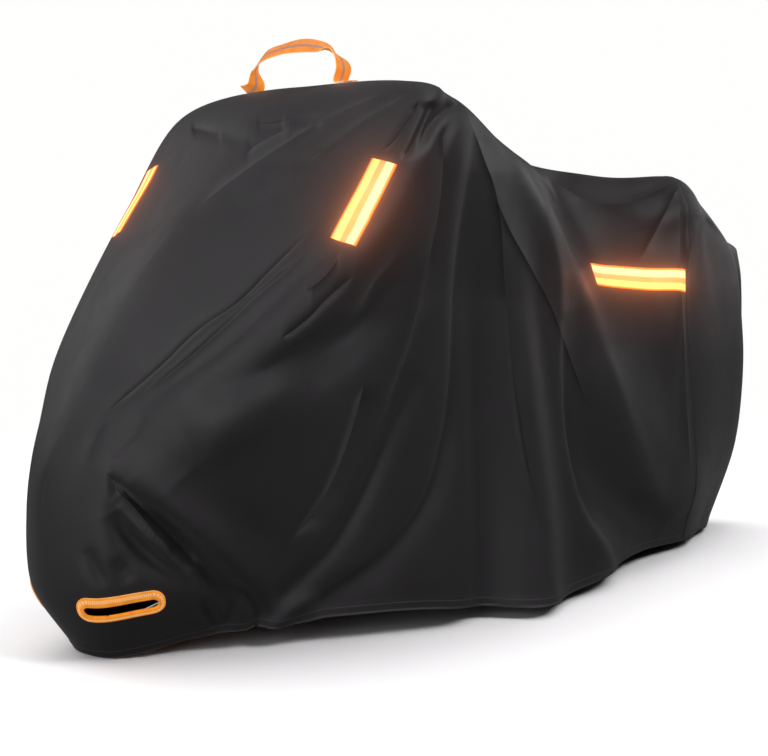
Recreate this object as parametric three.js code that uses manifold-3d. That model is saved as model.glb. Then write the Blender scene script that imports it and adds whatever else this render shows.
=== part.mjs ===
// Fitted outdoor cover for a large touring motorcycle, hanging as it does over the machine.
// One big cloth covers the nose, top and sides, and a rear panel is sewn to it. Sewn on are
// four reflective tapes, two bound lock slots low at the front and a webbing carry handle.
import * as THREE from 'three';
import { mergeVertices } from 'three/addons/utils/BufferGeometryUtils.js';
import Module from 'manifold-3d';

const wasm = await Module();
wasm.setup();

// Driving dimensions in millimetres. The floor is at z = 0, the nose points to -X, the middle of
// the wheelbase is at x = 0, and the near side is at -Y.
const CLOTH_THICKNESS = 2;
const SEAM_GAP = 0.3;
const TRIM_GAP = 0.3;
const TAPE_THICKNESS = 1.6;
const BINDING_THICKNESS = 2.4;
const WEBBING_THICKNESS = 2.4;
const GRID_COLUMNS = 20;
const CREST_EASE = 0.9;
const SECTION_EASE = 0.8;

// The machine's handlebar carries the cloth here, under the crest, and the part's origin is there
const CROWN = { x: -290, z: 1234 };

// One leaning section of the cloth for each row, from the crest over the machine down to the hem.
// Each place is [along, half width, height]. The cloth has steps grid rows up to the next section.
// The far side hangs lower by farDrop, which runs from the crest to the hem as well.
const SECTIONS = [
  { at: 'nose', steps: 3, crest: [-1050, 0, 440], shoulder: [-1060, 0, 390],
    waist: [-1066, 0, 310], flank: [-1055, 0, 190], hem: [-968, 0, 66] },
  { at: 'cheek', steps: 4, crest: [-1008, 0, 545], shoulder: [-1008, 100, 480],
    waist: [-1030, 108, 350], flank: [-1022, 105, 200], hem: [-945, 70, 64] },
  { at: 'brow', steps: 4, crest: [-945, 0, 655], shoulder: [-932, 183, 565],
    waist: [-964, 184, 400], flank: [-950, 172, 230], hem: [-890, 110, 74] },
  { at: 'fender', steps: 5, crest: [-862, 0, 780], shoulder: [-832, 298, 650],
    waist: [-846, 288, 450], flank: [-838, 245, 250], hem: [-790, 150, 95], farDrop: [0, 0, 0, 0, 29] },
  { at: 'lamp', steps: 5, crest: [-740, 0, 922], shoulder: [-705, 372, 790],
    waist: [-700, 350, 570], flank: [-690, 295, 310], hem: [-670, 220, 106], farDrop: [0, 0, 0, 0, 36] },
  { at: 'screen', steps: 6, crest: [-590, 0, 1072], shoulder: [-550, 420, 985],
    waist: [-540, 390, 680], flank: [-520, 335, 370], hem: [-500, 300, 118], farDrop: [0, 8, 0, 0, 44] },
  { at: 'mirror', steps: 6, crest: [-425, 0, 1229], shoulder: [-400, 425, 1204],
    waist: [-380, 410, 800], flank: [-360, 370, 430], hem: [-340, 355, 115], farDrop: [0, 30, 0, 0, 30] },
  { at: 'grip', steps: 7, crest: [-290, 0, 1236], shoulder: [-285, 404, 1196],
    waist: [-230, 400, 790], flank: [-210, 385, 430], hem: [-190, 398, 98], farDrop: [0, 20, 0, 0, 8] },
  { at: 'tank', steps: 7, crest: [-90, 0, 1188], shoulder: [-75, 325, 1120],
    waist: [-50, 350, 750], flank: [-40, 385, 410], hem: [-40, 425, 86] },
  { at: 'saddle', steps: 6, crest: [150, 0, 1120], shoulder: [150, 215, 1066],
    waist: [150, 300, 700], flank: [140, 350, 390], hem: [130, 378, 86] },
  { at: 'seat', steps: 5, crest: [400, 0, 1072], shoulder: [400, 125, 995],
    waist: [380, 265, 660], flank: [370, 310, 370], hem: [350, 305, 98] },
  { at: 'pillion', steps: 4, crest: [590, 0, 1052], shoulder: [590, 125, 1005],
    waist: [580, 250, 650], flank: [575, 275, 350], hem: [570, 240, 93] },
  { at: 'corner', steps: 4, crest: [790, 0, 1024], shoulder: [785, 158, 1034],
    waist: [725, 262, 640], flank: [740, 262, 330], hem: [770, 208, 86] },
  { at: 'tail', steps: 4, crest: [965, 0, 998], shoulder: [930, 136, 956],
    waist: [950, 190, 600], flank: [960, 180, 300], hem: [925, 140, 85] },
  { at: 'stern', steps: 4, crest: [1130, 0, 898], shoulder: [1142, 80, 836],
    waist: [1178, 98, 560], flank: [1148, 94, 290], hem: [1045, 78, 72] },
  { at: 'end', steps: 0, crest: [1270, 0, 836], shoulder: [1288, 0, 745],
    waist: [1282, 0, 530], flank: [1242, 0, 270], hem: [1125, 0, 68] },
];
const LEVELS = ['crest', 'shoulder', 'waist', 'flank', 'hem'];
const SEAM_AT = 'corner';

// Folds are laid out on three upright drawing boards through the middle of the cover. Each board
// is seen from an eye at a quarter of the cover, and carries the folds of the cloth facing it.
const BOARDS = {
  near: { eye: [-2855, -2945, 1010] },
  far: { eye: [-2855, 2945, 1010] },
  rear: { eye: [3300, 0, 1010] },
};
const FACING_FADES_IN = [0.02, 0.3];

// One fold for each row: height out of the cloth (a valley is negative), reach to the left and
// right of its path, how fast it falls off, its share of the height at both ends, and its path
// as [across, up] on the board.
const FOLDS = [
  { name: 'long pleat', board: 'near', height: -13, reach: [26, 18], fall: 1.3, share: [0.5, 0.2],
    path: [[-135, 940], [-285, 810], [-445, 665], [-575, 565], [-685, 475]] },
  { name: 'lip of long pleat', board: 'near', height: 9, reach: [24, 40], fall: 1.6,
    share: [0.5, 0.2], path: [[-125, 925], [-270, 790], [-430, 640], [-560, 545], [-675, 450]] },
  { name: 'valley under pleat', board: 'near', height: -30, reach: [60, 40], fall: 1.8,
    share: [0.3, 0.1], path: [[-65, 825], [-125, 705], [-250, 625], [-380, 570], [-530, 505]] },
  { name: 'belly', board: 'near', height: 22, reach: [90, 70], fall: 2, share: [0.4, 0.2],
    path: [[-205, 530], [-395, 480], [-565, 410]] },
  { name: 'pinch at mirror', board: 'near', height: -14, reach: [16, 20], fall: 1.5,
    share: [0.5, 0.2], path: [[95, 1235], [50, 1180], [5, 1110]] },
  { name: 'sweep ridge', board: 'near', height: 14, reach: [30, 50], fall: 1.7, share: [0.6, 0.1],
    path: [[30, 1245], [-105, 1170], [-235, 1090], [-335, 1040], [-440, 985]] },
  { name: 'sweep valley', board: 'near', height: -10, reach: [26, 22], fall: 1.5,
    share: [0.3, 0.2], path: [[-30, 1210], [-140, 1140], [-245, 1070], [-355, 1010], [-455, 950]] },
  { name: 'wheel pinch', board: 'near', height: -44, reach: [44, 26], fall: 1.6,
    share: [0.25, 0.4], path: [[-730, 280], [-660, 220], [-595, 155], [-525, 80], [-485, 35]] },
  { name: 'lip of wheel pinch', board: 'near', height: 20, reach: [60, 30], fall: 1.8,
    share: [0.2, 0.3], path: [[-740, 300], [-630, 250], [-520, 165], [-435, 80]] },
  { name: 'left pinch', board: 'near', height: -24, reach: [30, 22], fall: 1.6,
    share: [0.2, 0.3], path: [[-755, 230], [-715, 160], [-650, 100], [-580, 55]] },
  { name: 'cheek hollow', board: 'near', height: -18, reach: [60, 60], fall: 2,
    share: [0.3, 0.2], path: [[-580, 315], [-490, 220], [-370, 125]] },
  { name: 'side crease', board: 'near', height: -34, reach: [20, 50], fall: 1.4,
    share: [0.1, 0.6], path: [[0, 575], [-45, 480], [-95, 360], [-145, 250], [-215, 135], [-330, 20]] },
  { name: 'lip of side crease', board: 'near', height: 16, reach: [40, 30], fall: 1.8,
    share: [0.1, 0.5], path: [[-30, 555], [-75, 450], [-125, 340], [-180, 240], [-255, 135], [-360, 35]] },
  { name: 'long fold', board: 'near', height: -28, reach: [40, 20], fall: 1.4, share: [0.2, 0.6],
    path: [[135, 1165], [125, 990], [100, 750], [90, 555], [70, 410], [20, 250], [-90, 110], [-235, 10]] },
  { name: 'lip of long fold', board: 'near', height: 10, reach: [30, 30], fall: 1.8,
    share: [0.2, 0.2], path: [[95, 750], [105, 580], [95, 410], [50, 250], [-40, 115]] },
  { name: 'deep valley', board: 'near', height: -42, reach: [46, 56], fall: 2, share: [0.2, 1],
    path: [[155, 990], [170, 750], [175, 435], [180, 215], [180, 0]] },
  { name: 'flare ridge', board: 'near', height: 30, reach: [44, 40], fall: 2, share: [0.2, 1],
    path: [[195, 1035], [215, 800], [240, 510], [270, 265], [290, -5]] },
  { name: 'sharp ridge', board: 'near', height: 44, reach: [46, 22], fall: 1.4, share: [0.2, 0.3],
    path: [[185, 1220], [225, 1070], [265, 935], [300, 765], [325, 580], [345, 410], [370, 290],
      [400, 195], [430, 115]] },
  { name: 'shade of sharp ridge', board: 'near', height: -26, reach: [18, 26], fall: 1.5,
    share: [0.3, 0.3], path: [[325, 680], [350, 535], [370, 400], [395, 290], [425, 205], [445, 155]] },
  { name: 'hem ridge', board: 'near', height: 26, reach: [40, 40], fall: 2, share: [0.3, 0.9],
    path: [[410, 215], [420, 115], [420, 15]] },
  { name: 'saddle valley', board: 'near', height: -34, reach: [30, 60], fall: 1.8,
    share: [0.3, 0.2], path: [[235, 1150], [305, 1055], [370, 955], [420, 840]] },
  { name: 'second ridge', board: 'near', height: 24, reach: [30, 34], fall: 1.6, share: [0.4, 0.2],
    path: [[250, 1065], [310, 885], [380, 740], [430, 585], [490, 410], [580, 250]] },
  { name: 'rear valley', board: 'near', height: -44, reach: [60, 60], fall: 1.9,
    share: [0.2, 0.3], path: [[325, 725], [370, 510], [415, 365], [480, 245], [595, 190]] },
  { name: 'rear belly', board: 'near', height: 22, reach: [70, 90], fall: 2, share: [0.2, 0.3],
    path: [[440, 630], [510, 460], [585, 335], [660, 245]] },
  { name: 'corner valley', board: 'near', height: -20, reach: [40, 26], fall: 1.7,
    share: [0.4, 0.1], path: [[700, 1015], [670, 880], [655, 725], [640, 535], [630, 375]] },
  { name: 'sag under saddle', board: 'near', height: 14, reach: [30, 30], fall: 1.8,
    share: [0.3, 0.2], path: [[670, 1000], [610, 960], [545, 945], [480, 970], [420, 1015]] },
  { name: 'far crease', board: 'far', height: -28, reach: [44, 24], fall: 1.5, share: [0.1, 0.6],
    path: [[-40, 610], [50, 450], [110, 300], [215, 150], [350, 30]] },
  { name: 'far long fold', board: 'far', height: -30, reach: [22, 42], fall: 1.5,
    share: [0.2, 0.6], path: [[-120, 1150], [-110, 960], [-80, 700], [-60, 430], [30, 220], [150, 40]] },
  { name: 'far valley', board: 'far', height: -40, reach: [56, 48], fall: 2, share: [0.2, 1],
    path: [[-165, 960], [-190, 700], [-195, 400], [-205, 200], [-210, 0]] },
  { name: 'far flare', board: 'far', height: 30, reach: [42, 46], fall: 2, share: [0.2, 1],
    path: [[-210, 1010], [-240, 760], [-270, 500], [-300, 260], [-325, 0]] },
  { name: 'far sharp ridge', board: 'far', height: 38, reach: [24, 46], fall: 1.4,
    share: [0.2, 0.3], path: [[-190, 1210], [-240, 1050], [-300, 860], [-345, 640], [-375, 420],
      [-425, 240], [-470, 120]] },
  { name: 'far saddle valley', board: 'far', height: -30, reach: [58, 32], fall: 1.8,
    share: [0.3, 0.2], path: [[-245, 1140], [-320, 1040], [-390, 930], [-440, 810]] },
  { name: 'far rear valley', board: 'far', height: -40, reach: [60, 58], fall: 1.9,
    share: [0.2, 0.3], path: [[-350, 740], [-400, 520], [-450, 350], [-520, 235], [-620, 190]] },
  { name: 'far rear belly', board: 'far', height: 20, reach: [90, 70], fall: 2,
    share: [0.2, 0.3], path: [[-460, 640], [-530, 470], [-610, 330], [-680, 240]] },
  { name: 'tail crease', board: 'rear', height: -24, reach: [40, 30], fall: 1.6,
    share: [0.2, 0.4], path: [[-60, 860], [-80, 640], [-95, 420], [-80, 240], [-60, 90]] },
  { name: 'tail ridge', board: 'rear', height: 20, reach: [36, 40], fall: 1.8,
    share: [0.2, 0.3], path: [[45, 900], [60, 680], [80, 440], [70, 240], [40, 90]] },
];
const PATH_PIECES = 24;

// Reflective tapes: the middle, the way the tape runs and the way it faces. The far front one
// sits further in, and the far rear one is the twin of the near one.
const TAPES = [
  { name: 'front_tape_near', length: 190, width: 58, middle: [-555, -407, 990],
    runs: [-0.58, 0.02, -0.81], faces: [-0.74, -0.5, 0.45] },
  { name: 'front_tape_far', length: 190, width: 58, middle: [-575, 366, 990],
    runs: [-0.6, -0.1, -0.79], faces: [-0.78, 0.4, 0.48] },
  { name: 'rear_tape_near', length: 338, width: 58, middle: [556, -225, 795],
    runs: [1, -0.06, -0.08], faces: [0.08, -0.96, 0.28] },
  { name: 'rear_tape_far', length: 338, width: 58, middle: [556, 225, 795],
    runs: [1, 0.06, -0.08], faces: [0.08, 0.96, 0.28] },
];
const TAPE_CUT_DEPTH = 120;

// Lock slots, low on both sides of the nose
const SLOT = { length: 150, height: 26, middle: [-962, -132, 184], runs: [0.76, -0.64, 0.08],
  faces: [-0.62, -0.6, -0.5], cutDepth: 90 };
const BINDING = { above: 22, below: 13, ends: 12 };

// Carry handle: a webbing loop across the top, twisted as it stands up, with a sewn foot at each
// end. Its line runs from the near foot to the far one. Each place is across, height, how far the
// face is turned towards the nose in degrees, and width.
const HANDLE = { along: -380, footLength: 56, footWidth: 40, footAt: 158, footDrop: 60,
  line: [[-136, 1206, 5, 40], [-140, 1246, 5, 40], [-149, 1274, 8, 40], [-136, 1297, -14, 38],
    [-113, 1310, -32, 38], [-86, 1319, 22, 38], [-45, 1327, 48, 38], [66, 1325, 48, 38],
    [130, 1309, 46, 38], [155, 1286, 32, 38], [154, 1248, -24, 44], [150, 1206, -24, 44]] };

const COLOURS = { cloth: 0x2b292b, tape: 0xe8b04a, binding: 0xf08a24, webbing: 0xf0872a };

const vector = (place) => new THREE.Vector3(...place);
const smoothStep = THREE.MathUtils.smoothstep;

// Slope of a curve through points at knots, from the two neighbouring stretches
function slopeAt(points, knots, i, ends, ease) {
  if (i === 0 && ends[0]) return ends[0];
  if (i === points.length - 1 && ends[1]) return ends[1];
  const stretch = (k) => points[k + 1].clone().sub(points[k]).divideScalar(knots[k + 1] - knots[k]);
  if (i === 0) return stretch(0);
  if (i === points.length - 1) return stretch(i - 1);
  const before = knots[i] - knots[i - 1];
  const after = knots[i + 1] - knots[i];
  return stretch(i - 1).multiplyScalar(after).addScaledVector(stretch(i), before)
    .multiplyScalar(ease / (before + after));
}

// Point at t on the smooth curve through points at knots
function onCurve(points, knots, t, ends = [null, null], ease = 1) {
  let i = 0;
  while (i < knots.length - 2 && t > knots[i + 1]) i += 1;
  const span = knots[i + 1] - knots[i];
  const s = (t - knots[i]) / span;
  const from = slopeAt(points, knots, i, ends, ease);
  const to = slopeAt(points, knots, i + 1, ends, ease);
  return points[i].clone().multiplyScalar(2 * s ** 3 - 3 * s ** 2 + 1)
    .addScaledVector(from, (s ** 3 - 2 * s ** 2 + s) * span)
    .addScaledVector(points[i + 1], 3 * s ** 2 - 2 * s ** 3)
    .addScaledVector(to, (s ** 3 - s ** 2) * span);
}

const lines = LEVELS.map((level) => SECTIONS.map((section) => vector(section[level])));
const farLines = lines.map((line, k) => line.map(
  (place, i) => place.clone().setZ(place.z - (SECTIONS[i].farDrop?.[k] ?? 0))));

// Knots along the cover, from the stretches half way between shoulder and waist
const alongKnots = [0];
for (let i = 1; i < SECTIONS.length; i += 1) {
  const middle = (k) => lines[1][k].clone().add(lines[2][k]).multiplyScalar(0.5);
  alongKnots.push(alongKnots[i - 1] + Math.sqrt(middle(i).distanceTo(middle(i - 1))));
}

// Knots down a section, from the mean stretches of the sections over the machine's body
const BODY_SECTIONS = [4, 12];
const downKnots = [0];
for (let level = 1; level < LEVELS.length; level += 1) {
  let total = 0;
  for (let k = BODY_SECTIONS[0]; k <= BODY_SECTIONS[1]; k += 1) {
    total += lines[level][k].distanceTo(lines[level - 1][k]);
  }
  downKnots.push(downKnots[level - 1] + total);
}
const alongEnd = alongKnots[alongKnots.length - 1];
const downEnd = downKnots[downKnots.length - 1];

// Slopes at the nose and the tail end, level with y so that both ends are round
const last = SECTIONS.length - 1;
const lineEnds = lines.map((line) => {
  const nose = line[1].clone().sub(line[0]).divideScalar(alongKnots[1] - alongKnots[0]);
  const tail = line[last].clone().sub(line[last - 1])
    .divideScalar(alongKnots[last] - alongKnots[last - 1]);
  nose.x = 0;
  tail.x = 0;
  return [nose, tail];
});

// Point of the cloth before its folds. side is -1 on the near side and 1 on the far side.
function plainPoint(u, v, side) {
  const own = side > 0 ? farLines : lines;
  const levels = own.map((line, k) => onCurve(line, alongKnots, u, lineEnds[k]));
  const crest = new THREE.Vector3(0, levels[1].y, 0)
    .multiplyScalar(CREST_EASE / (downKnots[1] - downKnots[0]));
  const point = onCurve(levels, downKnots, v, [crest, null], SECTION_EASE);
  point.y *= side;
  return point;
}

// Outward normal of the cloth before its folds
const PROBE = 0.002;
function plainNormal(u, v, side) {
  const du = alongEnd * PROBE;
  const dv = downEnd * PROBE;
  const along = plainPoint(Math.min(u + du, alongEnd), v, side)
    .sub(plainPoint(Math.max(u - du, 0), v, side));
  const down = plainPoint(u, Math.min(v + dv, downEnd), side)
    .sub(plainPoint(u, Math.max(v - dv, 0), side));
  const normal = along.cross(down).multiplyScalar(side).normalize();
  if (u === 0 || u === alongEnd || v === 0) normal.y = 0;
  return normal.normalize();
}

// The boards' own directions, and each fold's path cut into short pieces
for (const board of Object.values(BOARDS)) {
  board.place = vector(board.eye);
  board.depth = new THREE.Vector3(-board.place.x, -board.place.y, 0);
  board.distance = board.depth.length();
  board.depth.normalize();
  board.across = new THREE.Vector3(board.depth.y, -board.depth.x, 0);
}
function onBoard(point, board) {
  const away = point.clone().sub(board.place);
  const scale = board.distance / away.dot(board.depth);
  return new THREE.Vector2(away.dot(board.across) * scale, board.place.z + away.z * scale);
}
for (const fold of FOLDS) {
  const curve = new THREE.SplineCurve(fold.path.map((place) => new THREE.Vector2(...place)));
  fold.points = curve.getPoints(PATH_PIECES);
}

// How far one fold lifts the cloth at a place on its board
function foldLift(fold, place) {
  let best = { distance: Infinity, along: 0, lean: 0 };
  for (let i = 0; i < PATH_PIECES; i += 1) {
    const start = fold.points[i];
    const piece = fold.points[i + 1].clone().sub(start);
    const to = place.clone().sub(start);
    const share = THREE.MathUtils.clamp(to.dot(piece) / piece.lengthSq(), 0, 1);
    const off = to.addScaledVector(piece, -share);
    const distance = off.length();
    if (distance < best.distance) {
      const lean = piece.cross(off) / (piece.length() * distance + 1e-9);
      best = { distance, along: (i + share) / PATH_PIECES, lean };
    }
  }
  const [left, right] = fold.reach;
  const reach = right + (left - right) * (1 + best.lean) / 2;
  const end = best.along < 0.5 ? fold.share[0] : fold.share[1];
  const strength = end + (1 - end) * Math.sin(Math.PI * best.along);
  return fold.height * strength * Math.exp(-((best.distance / reach) ** fold.fall));
}

// Cloth point with its folds
function foldedPoint(u, v, side) {
  const point = plainPoint(u, v, side);
  const normal = plainNormal(u, v, side);
  let left = 1;
  let lift = 0;
  for (const [name, board] of Object.entries(BOARDS)) {
    const facing = board.place.clone().sub(point).normalize().dot(normal);
    const weight = left * smoothStep(facing, ...FACING_FADES_IN);
    left -= weight;
    if (weight === 0) continue;
    const place = onBoard(point, board);
    for (const fold of FOLDS) {
      if (fold.board === name) lift += weight * foldLift(fold, place);
    }
  }
  return point.addScaledVector(normal, lift);
}

// The cloth as a grid: a row for each step along the cover, and columns from the near hem over
// the crest to the far hem. The first and last rows close on themselves along the middle.
const alongPlaces = [];
SECTIONS.forEach((section, k) => {
  for (let step = 0; step < section.steps; step += 1) {
    const share = step / section.steps;
    alongPlaces.push(alongKnots[k] + share * (alongKnots[k + 1] - alongKnots[k]));
  }
});
alongPlaces.push(alongEnd);
const rowAt = (name) => alongPlaces.indexOf(
  alongKnots[SECTIONS.findIndex((section) => section.at === name)]);
const seamRow = rowAt(SEAM_AT);
const COLUMNS = 2 * GRID_COLUMNS;

function clothRow(u) {
  const row = [];
  const closed = u === 0 || u === alongEnd;
  for (let j = 0; j <= COLUMNS; j += 1) {
    const side = j < GRID_COLUMNS ? -1 : 1;
    const v = downEnd * Math.abs(j - GRID_COLUMNS) / GRID_COLUMNS;
    const twin = closed && j > GRID_COLUMNS ? row[COLUMNS - j] : null;
    row.push(twin ?? { point: foldedPoint(u, v, side) });
  }
  return row;
}
const grid = alongPlaces.map(clothRow);

// Normals from the neighbours in the grid. Past a closed end, the neighbour is on the other side.
function neighbour(i, j) {
  if (i < 0) return grid[1][COLUMNS - j].point;
  if (i >= grid.length) return grid[grid.length - 2][COLUMNS - j].point;
  return grid[i][Math.min(Math.max(j, 0), COLUMNS)].point;
}
grid.forEach((row, i) => row.forEach((knot, j) => {
  if (knot.normal) return;
  const along = neighbour(i + 1, j).clone().sub(neighbour(i - 1, j));
  const across = neighbour(i, j + 1).clone().sub(neighbour(i, j - 1));
  knot.normal = along.clone().cross(across).normalize();
  if ((i === 0 || i === grid.length - 1) && j !== GRID_COLUMNS) knot.normal.y = 0;
  knot.normal.normalize();
  knot.across = across.normalize();
}));

// The row at the seam is moved off it by half the gap, forward for the body and back for the tail
function seamEdge(shift) {
  return grid[seamRow].map((knot) => {
    const off = knot.across.clone().cross(knot.normal).normalize();
    return { point: knot.point.clone().addScaledVector(off, shift), normal: knot.normal };
  });
}
const towardsTail = grid[seamRow][GRID_COLUMNS].across.clone()
  .cross(grid[seamRow][GRID_COLUMNS].normal).x > 0 ? 1 : -1;
const bodyRows = [...grid.slice(0, seamRow), seamEdge(-towardsTail * SEAM_GAP / 2)];
const tailRows = [seamEdge(towardsTail * SEAM_GAP / 2), ...grid.slice(seamRow + 1)];

// Closed solid between two heights over a stretch of the cloth grid
function layer(rows, top, bottom) {
  const numbers = new Map();
  const knots = [];
  for (const knot of rows.flat()) {
    if (!numbers.has(knot)) {
      numbers.set(knot, knots.length);
      knots.push(knot);
    }
  }
  const faces = [];
  for (let i = 0; i + 1 < rows.length; i += 1) {
    for (let j = 0; j + 1 < rows[i].length; j += 1) {
      const [a, b, c, d] = [rows[i][j], rows[i + 1][j], rows[i + 1][j + 1], rows[i][j + 1]];
      const cutAC = a.point.distanceTo(c.point) < b.point.distanceTo(d.point);
      const pair = cutAC ? [[a, b, c], [a, c, d]] : [[a, b, d], [b, c, d]];
      faces.push(...pair.map((face) => face.map((knot) => numbers.get(knot))));
    }
  }
  const count = knots.length;
  const walls = [];
  const edges = new Set(faces.flatMap(([a, b, c]) => [`${a} ${b}`, `${b} ${c}`, `${c} ${a}`]));
  for (const edge of edges) {
    const [a, b] = edge.split(' ').map(Number);
    if (edges.has(`${b} ${a}`)) continue;
    walls.push(...(a < b ? [[b, a, a + count], [b, a + count, b + count]]
      : [[b, a, b + count], [a, a + count, b + count]]));
  }
  const places = [top, bottom].flatMap((height) => knots.map(
    (knot) => knot.point.clone().addScaledVector(knot.normal, height)));
  const inner = faces.map(([a, b, c]) => [a + count, c + count, b + count]);
  return solidFrom(places.flatMap((p) => p.toArray()), [...faces, ...inner, ...walls].flat());
}

// Boolean library's solid from positions and triangle numbers
function solidFrom(positions, numbers) {
  return new wasm.Manifold(new wasm.Mesh({
    numProp: 3, vertProperties: new Float32Array(positions), triVerts: new Uint32Array(numbers),
  }));
}

// Boolean library's solid of a three.js geometry
function solidOf(geometry) {
  const bare = geometry.clone();
  bare.deleteAttribute('normal');
  bare.deleteAttribute('uv');
  const merged = mergeVertices(bare);
  return solidFrom(merged.attributes.position.array, merged.index.array);
}

// A flat shape made a prism that runs straight through the cloth at a place
function cutter(shape, middle, runs, faces, depth) {
  const z = vector(faces).normalize();
  const x = vector(runs).addScaledVector(z, -vector(runs).dot(z)).normalize();
  const y = z.clone().cross(x);
  const geometry = new THREE.ExtrudeGeometry(shape, { depth, bevelEnabled: false, curveSegments: 6 });
  geometry.translate(0, 0, -depth / 2);
  geometry.applyMatrix4(new THREE.Matrix4().makeBasis(x, y, z).setPosition(vector(middle)));
  return solidOf(geometry);
}

function rectangle(length, width) {
  return new THREE.Shape([[-1, -1], [1, -1], [1, 1], [-1, 1]].map(
    ([a, b]) => new THREE.Vector2(a * length / 2, b * width / 2)));
}

// Slot outline with round ends; low and high are its reach below and above the middle line
function slotOutline(Kind, length, low, high) {
  const round = (low + high) / 2;
  const lift = (high - low) / 2;
  const outline = new Kind();
  outline.moveTo(-length / 2 + round, -low);
  outline.lineTo(length / 2 - round, -low);
  outline.absarc(length / 2 - round, lift, round, -Math.PI / 2, Math.PI / 2, false);
  outline.lineTo(-length / 2 + round, high);
  outline.absarc(-length / 2 + round, lift, round, Math.PI / 2, 3 * Math.PI / 2, false);
  return outline;
}

const mirrored = ([x, y, z]) => [x, -y, z];
const SIDES = { near: (place) => place, far: mirrored };

const group = new THREE.Group();
group.position.set(-CROWN.x, 0, -CROWN.z);

// Mesh of a solid with its own finish
function addPiece(name, solid, color, roughness) {
  const { vertProperties, triVerts } = solid.getMesh();
  const geometry = new THREE.BufferGeometry();
  geometry.setAttribute('position', new THREE.BufferAttribute(vertProperties, 3));
  geometry.setIndex(new THREE.BufferAttribute(triVerts, 1));
  geometry.computeVertexNormals();
  const material = new THREE.MeshStandardMaterial({ color, roughness, metalness: 0 });
  const mesh = new THREE.Mesh(geometry, material);
  mesh.name = name;
  group.add(mesh);
}

// Body and rear panel, with the lock slots cut through the body
let body = layer(bodyRows, 0, -CLOTH_THICKNESS);
const noseLayer = layer(bodyRows.slice(0, rowAt('screen')), TRIM_GAP + BINDING_THICKNESS, TRIM_GAP);
for (const [side, place] of Object.entries(SIDES)) {
  const hole = slotOutline(THREE.Shape, SLOT.length, SLOT.height / 2, SLOT.height / 2);
  const at = [place(SLOT.middle), place(SLOT.runs), place(SLOT.faces), SLOT.cutDepth];
  body = body.subtract(cutter(hole, ...at));
  const band = side === 'near' ? [BINDING.below, BINDING.above] : [BINDING.above, BINDING.below];
  const [low, high] = band.map((reach) => reach + SLOT.height / 2);
  const ring = slotOutline(THREE.Shape, SLOT.length + 2 * BINDING.ends, low, high);
  ring.holes.push(slotOutline(THREE.Path, SLOT.length, SLOT.height / 2, SLOT.height / 2));
  addPiece(`slot_binding_${side}`, noseLayer.intersect(cutter(ring, ...at)), COLOURS.binding, 0.6);
}
addPiece('cover_body', body, COLOURS.cloth, 0.55);
addPiece('cover_tail', layer(tailRows, 0, -CLOTH_THICKNESS), COLOURS.cloth, 0.55);

// Reflective tapes
const tapeLayer = layer(bodyRows, TRIM_GAP + TAPE_THICKNESS, TRIM_GAP);
for (const tape of TAPES) {
  const outline = rectangle(tape.length, tape.width);
  const cut = cutter(outline, tape.middle, tape.runs, tape.faces, TAPE_CUT_DEPTH);
  addPiece(tape.name, tapeLayer.intersect(cut), COLOURS.tape, 0.35);
}

// Carry handle: its feet follow the cloth, and the loop between them is one twisted ribbon
const crownRows = bodyRows.slice(rowAt('lamp'), rowAt('tank') + 1);
const footLayer = layer(crownRows, TRIM_GAP + WEBBING_THICKNESS, TRIM_GAP);
const UP = [0, 0, 1];
const ACROSS = [0, 1, 0];
const places = HANDLE.line.map(([across, height]) => new THREE.Vector3(HANDLE.along, across, height));
const twists = HANDLE.line.map(([, , turn, width]) => new THREE.Vector3(turn, width, 0));
const stations = [0];
for (let i = 1; i < places.length; i += 1) {
  stations.push(stations[i - 1] + places[i].distanceTo(places[i - 1]));
}
const RIBBON_STEPS = 60;
const ribbonEnd = stations[stations.length - 1];
const corners = [];
for (let i = 0; i <= RIBBON_STEPS; i += 1) {
  const t = ribbonEnd * i / RIBBON_STEPS;
  const middle = onCurve(places, stations, t);
  const way = onCurve(places, stations, Math.min(t + 1, ribbonEnd))
    .sub(onCurve(places, stations, Math.max(t - 1, 0))).normalize();
  const { x: turn, y: width } = onCurve(twists, stations, t);
  const angle = THREE.MathUtils.degToRad(turn);
  const outward = new THREE.Vector3(0, -way.z, way.y);
  const wide = new THREE.Vector3(Math.cos(angle), 0, 0).addScaledVector(outward, Math.sin(angle));
  const thick = way.clone().cross(wide);
  for (const [a, b] of [[-1, -1], [1, -1], [1, 1], [-1, 1]]) {
    corners.push(...middle.clone().addScaledVector(wide, a * width / 2)
      .addScaledVector(thick, b * WEBBING_THICKNESS / 2).toArray());
  }
}
const last4 = RIBBON_STEPS * 4;
const ribbon = [0, 3, 2, 0, 2, 1, last4, last4 + 1, last4 + 2, last4, last4 + 2, last4 + 3];
for (let i = 0; i < RIBBON_STEPS; i += 1) {
  for (let k = 0; k < 4; k += 1) {
    const [a, b, c, d] = [4 * i + k, 4 * i + (k + 1) % 4, 4 * i + 4 + (k + 1) % 4, 4 * i + 4 + k];
    ribbon.push(a, b, c, a, c, d);
  }
}
let handle = solidFrom(corners, ribbon);
handle = handle.subtract(layer(crownRows, TRIM_GAP + WEBBING_THICKNESS / 2, -HANDLE.footDrop));
for (const way of [-1, 1]) {
  const foot = [HANDLE.along, way * HANDLE.footAt, CROWN.z];
  const outline = rectangle(HANDLE.footLength, HANDLE.footWidth);
  handle = handle.add(footLayer.intersect(cutter(outline, foot, ACROSS, UP, TAPE_CUT_DEPTH)));
}
addPiece('carry_handle', handle, COLOURS.webbing, 0.7);

export default group;
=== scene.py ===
"""Dressed model of an outdoor motorcycle cover, in the shape in which it hangs over the machine.

The tables repeat those of the part's source, in millimetres, with the floor at height 0, the nose
towards -X and the near side towards -Y. The finished pieces are in metres, in the part's frame.
"""
import math

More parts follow.
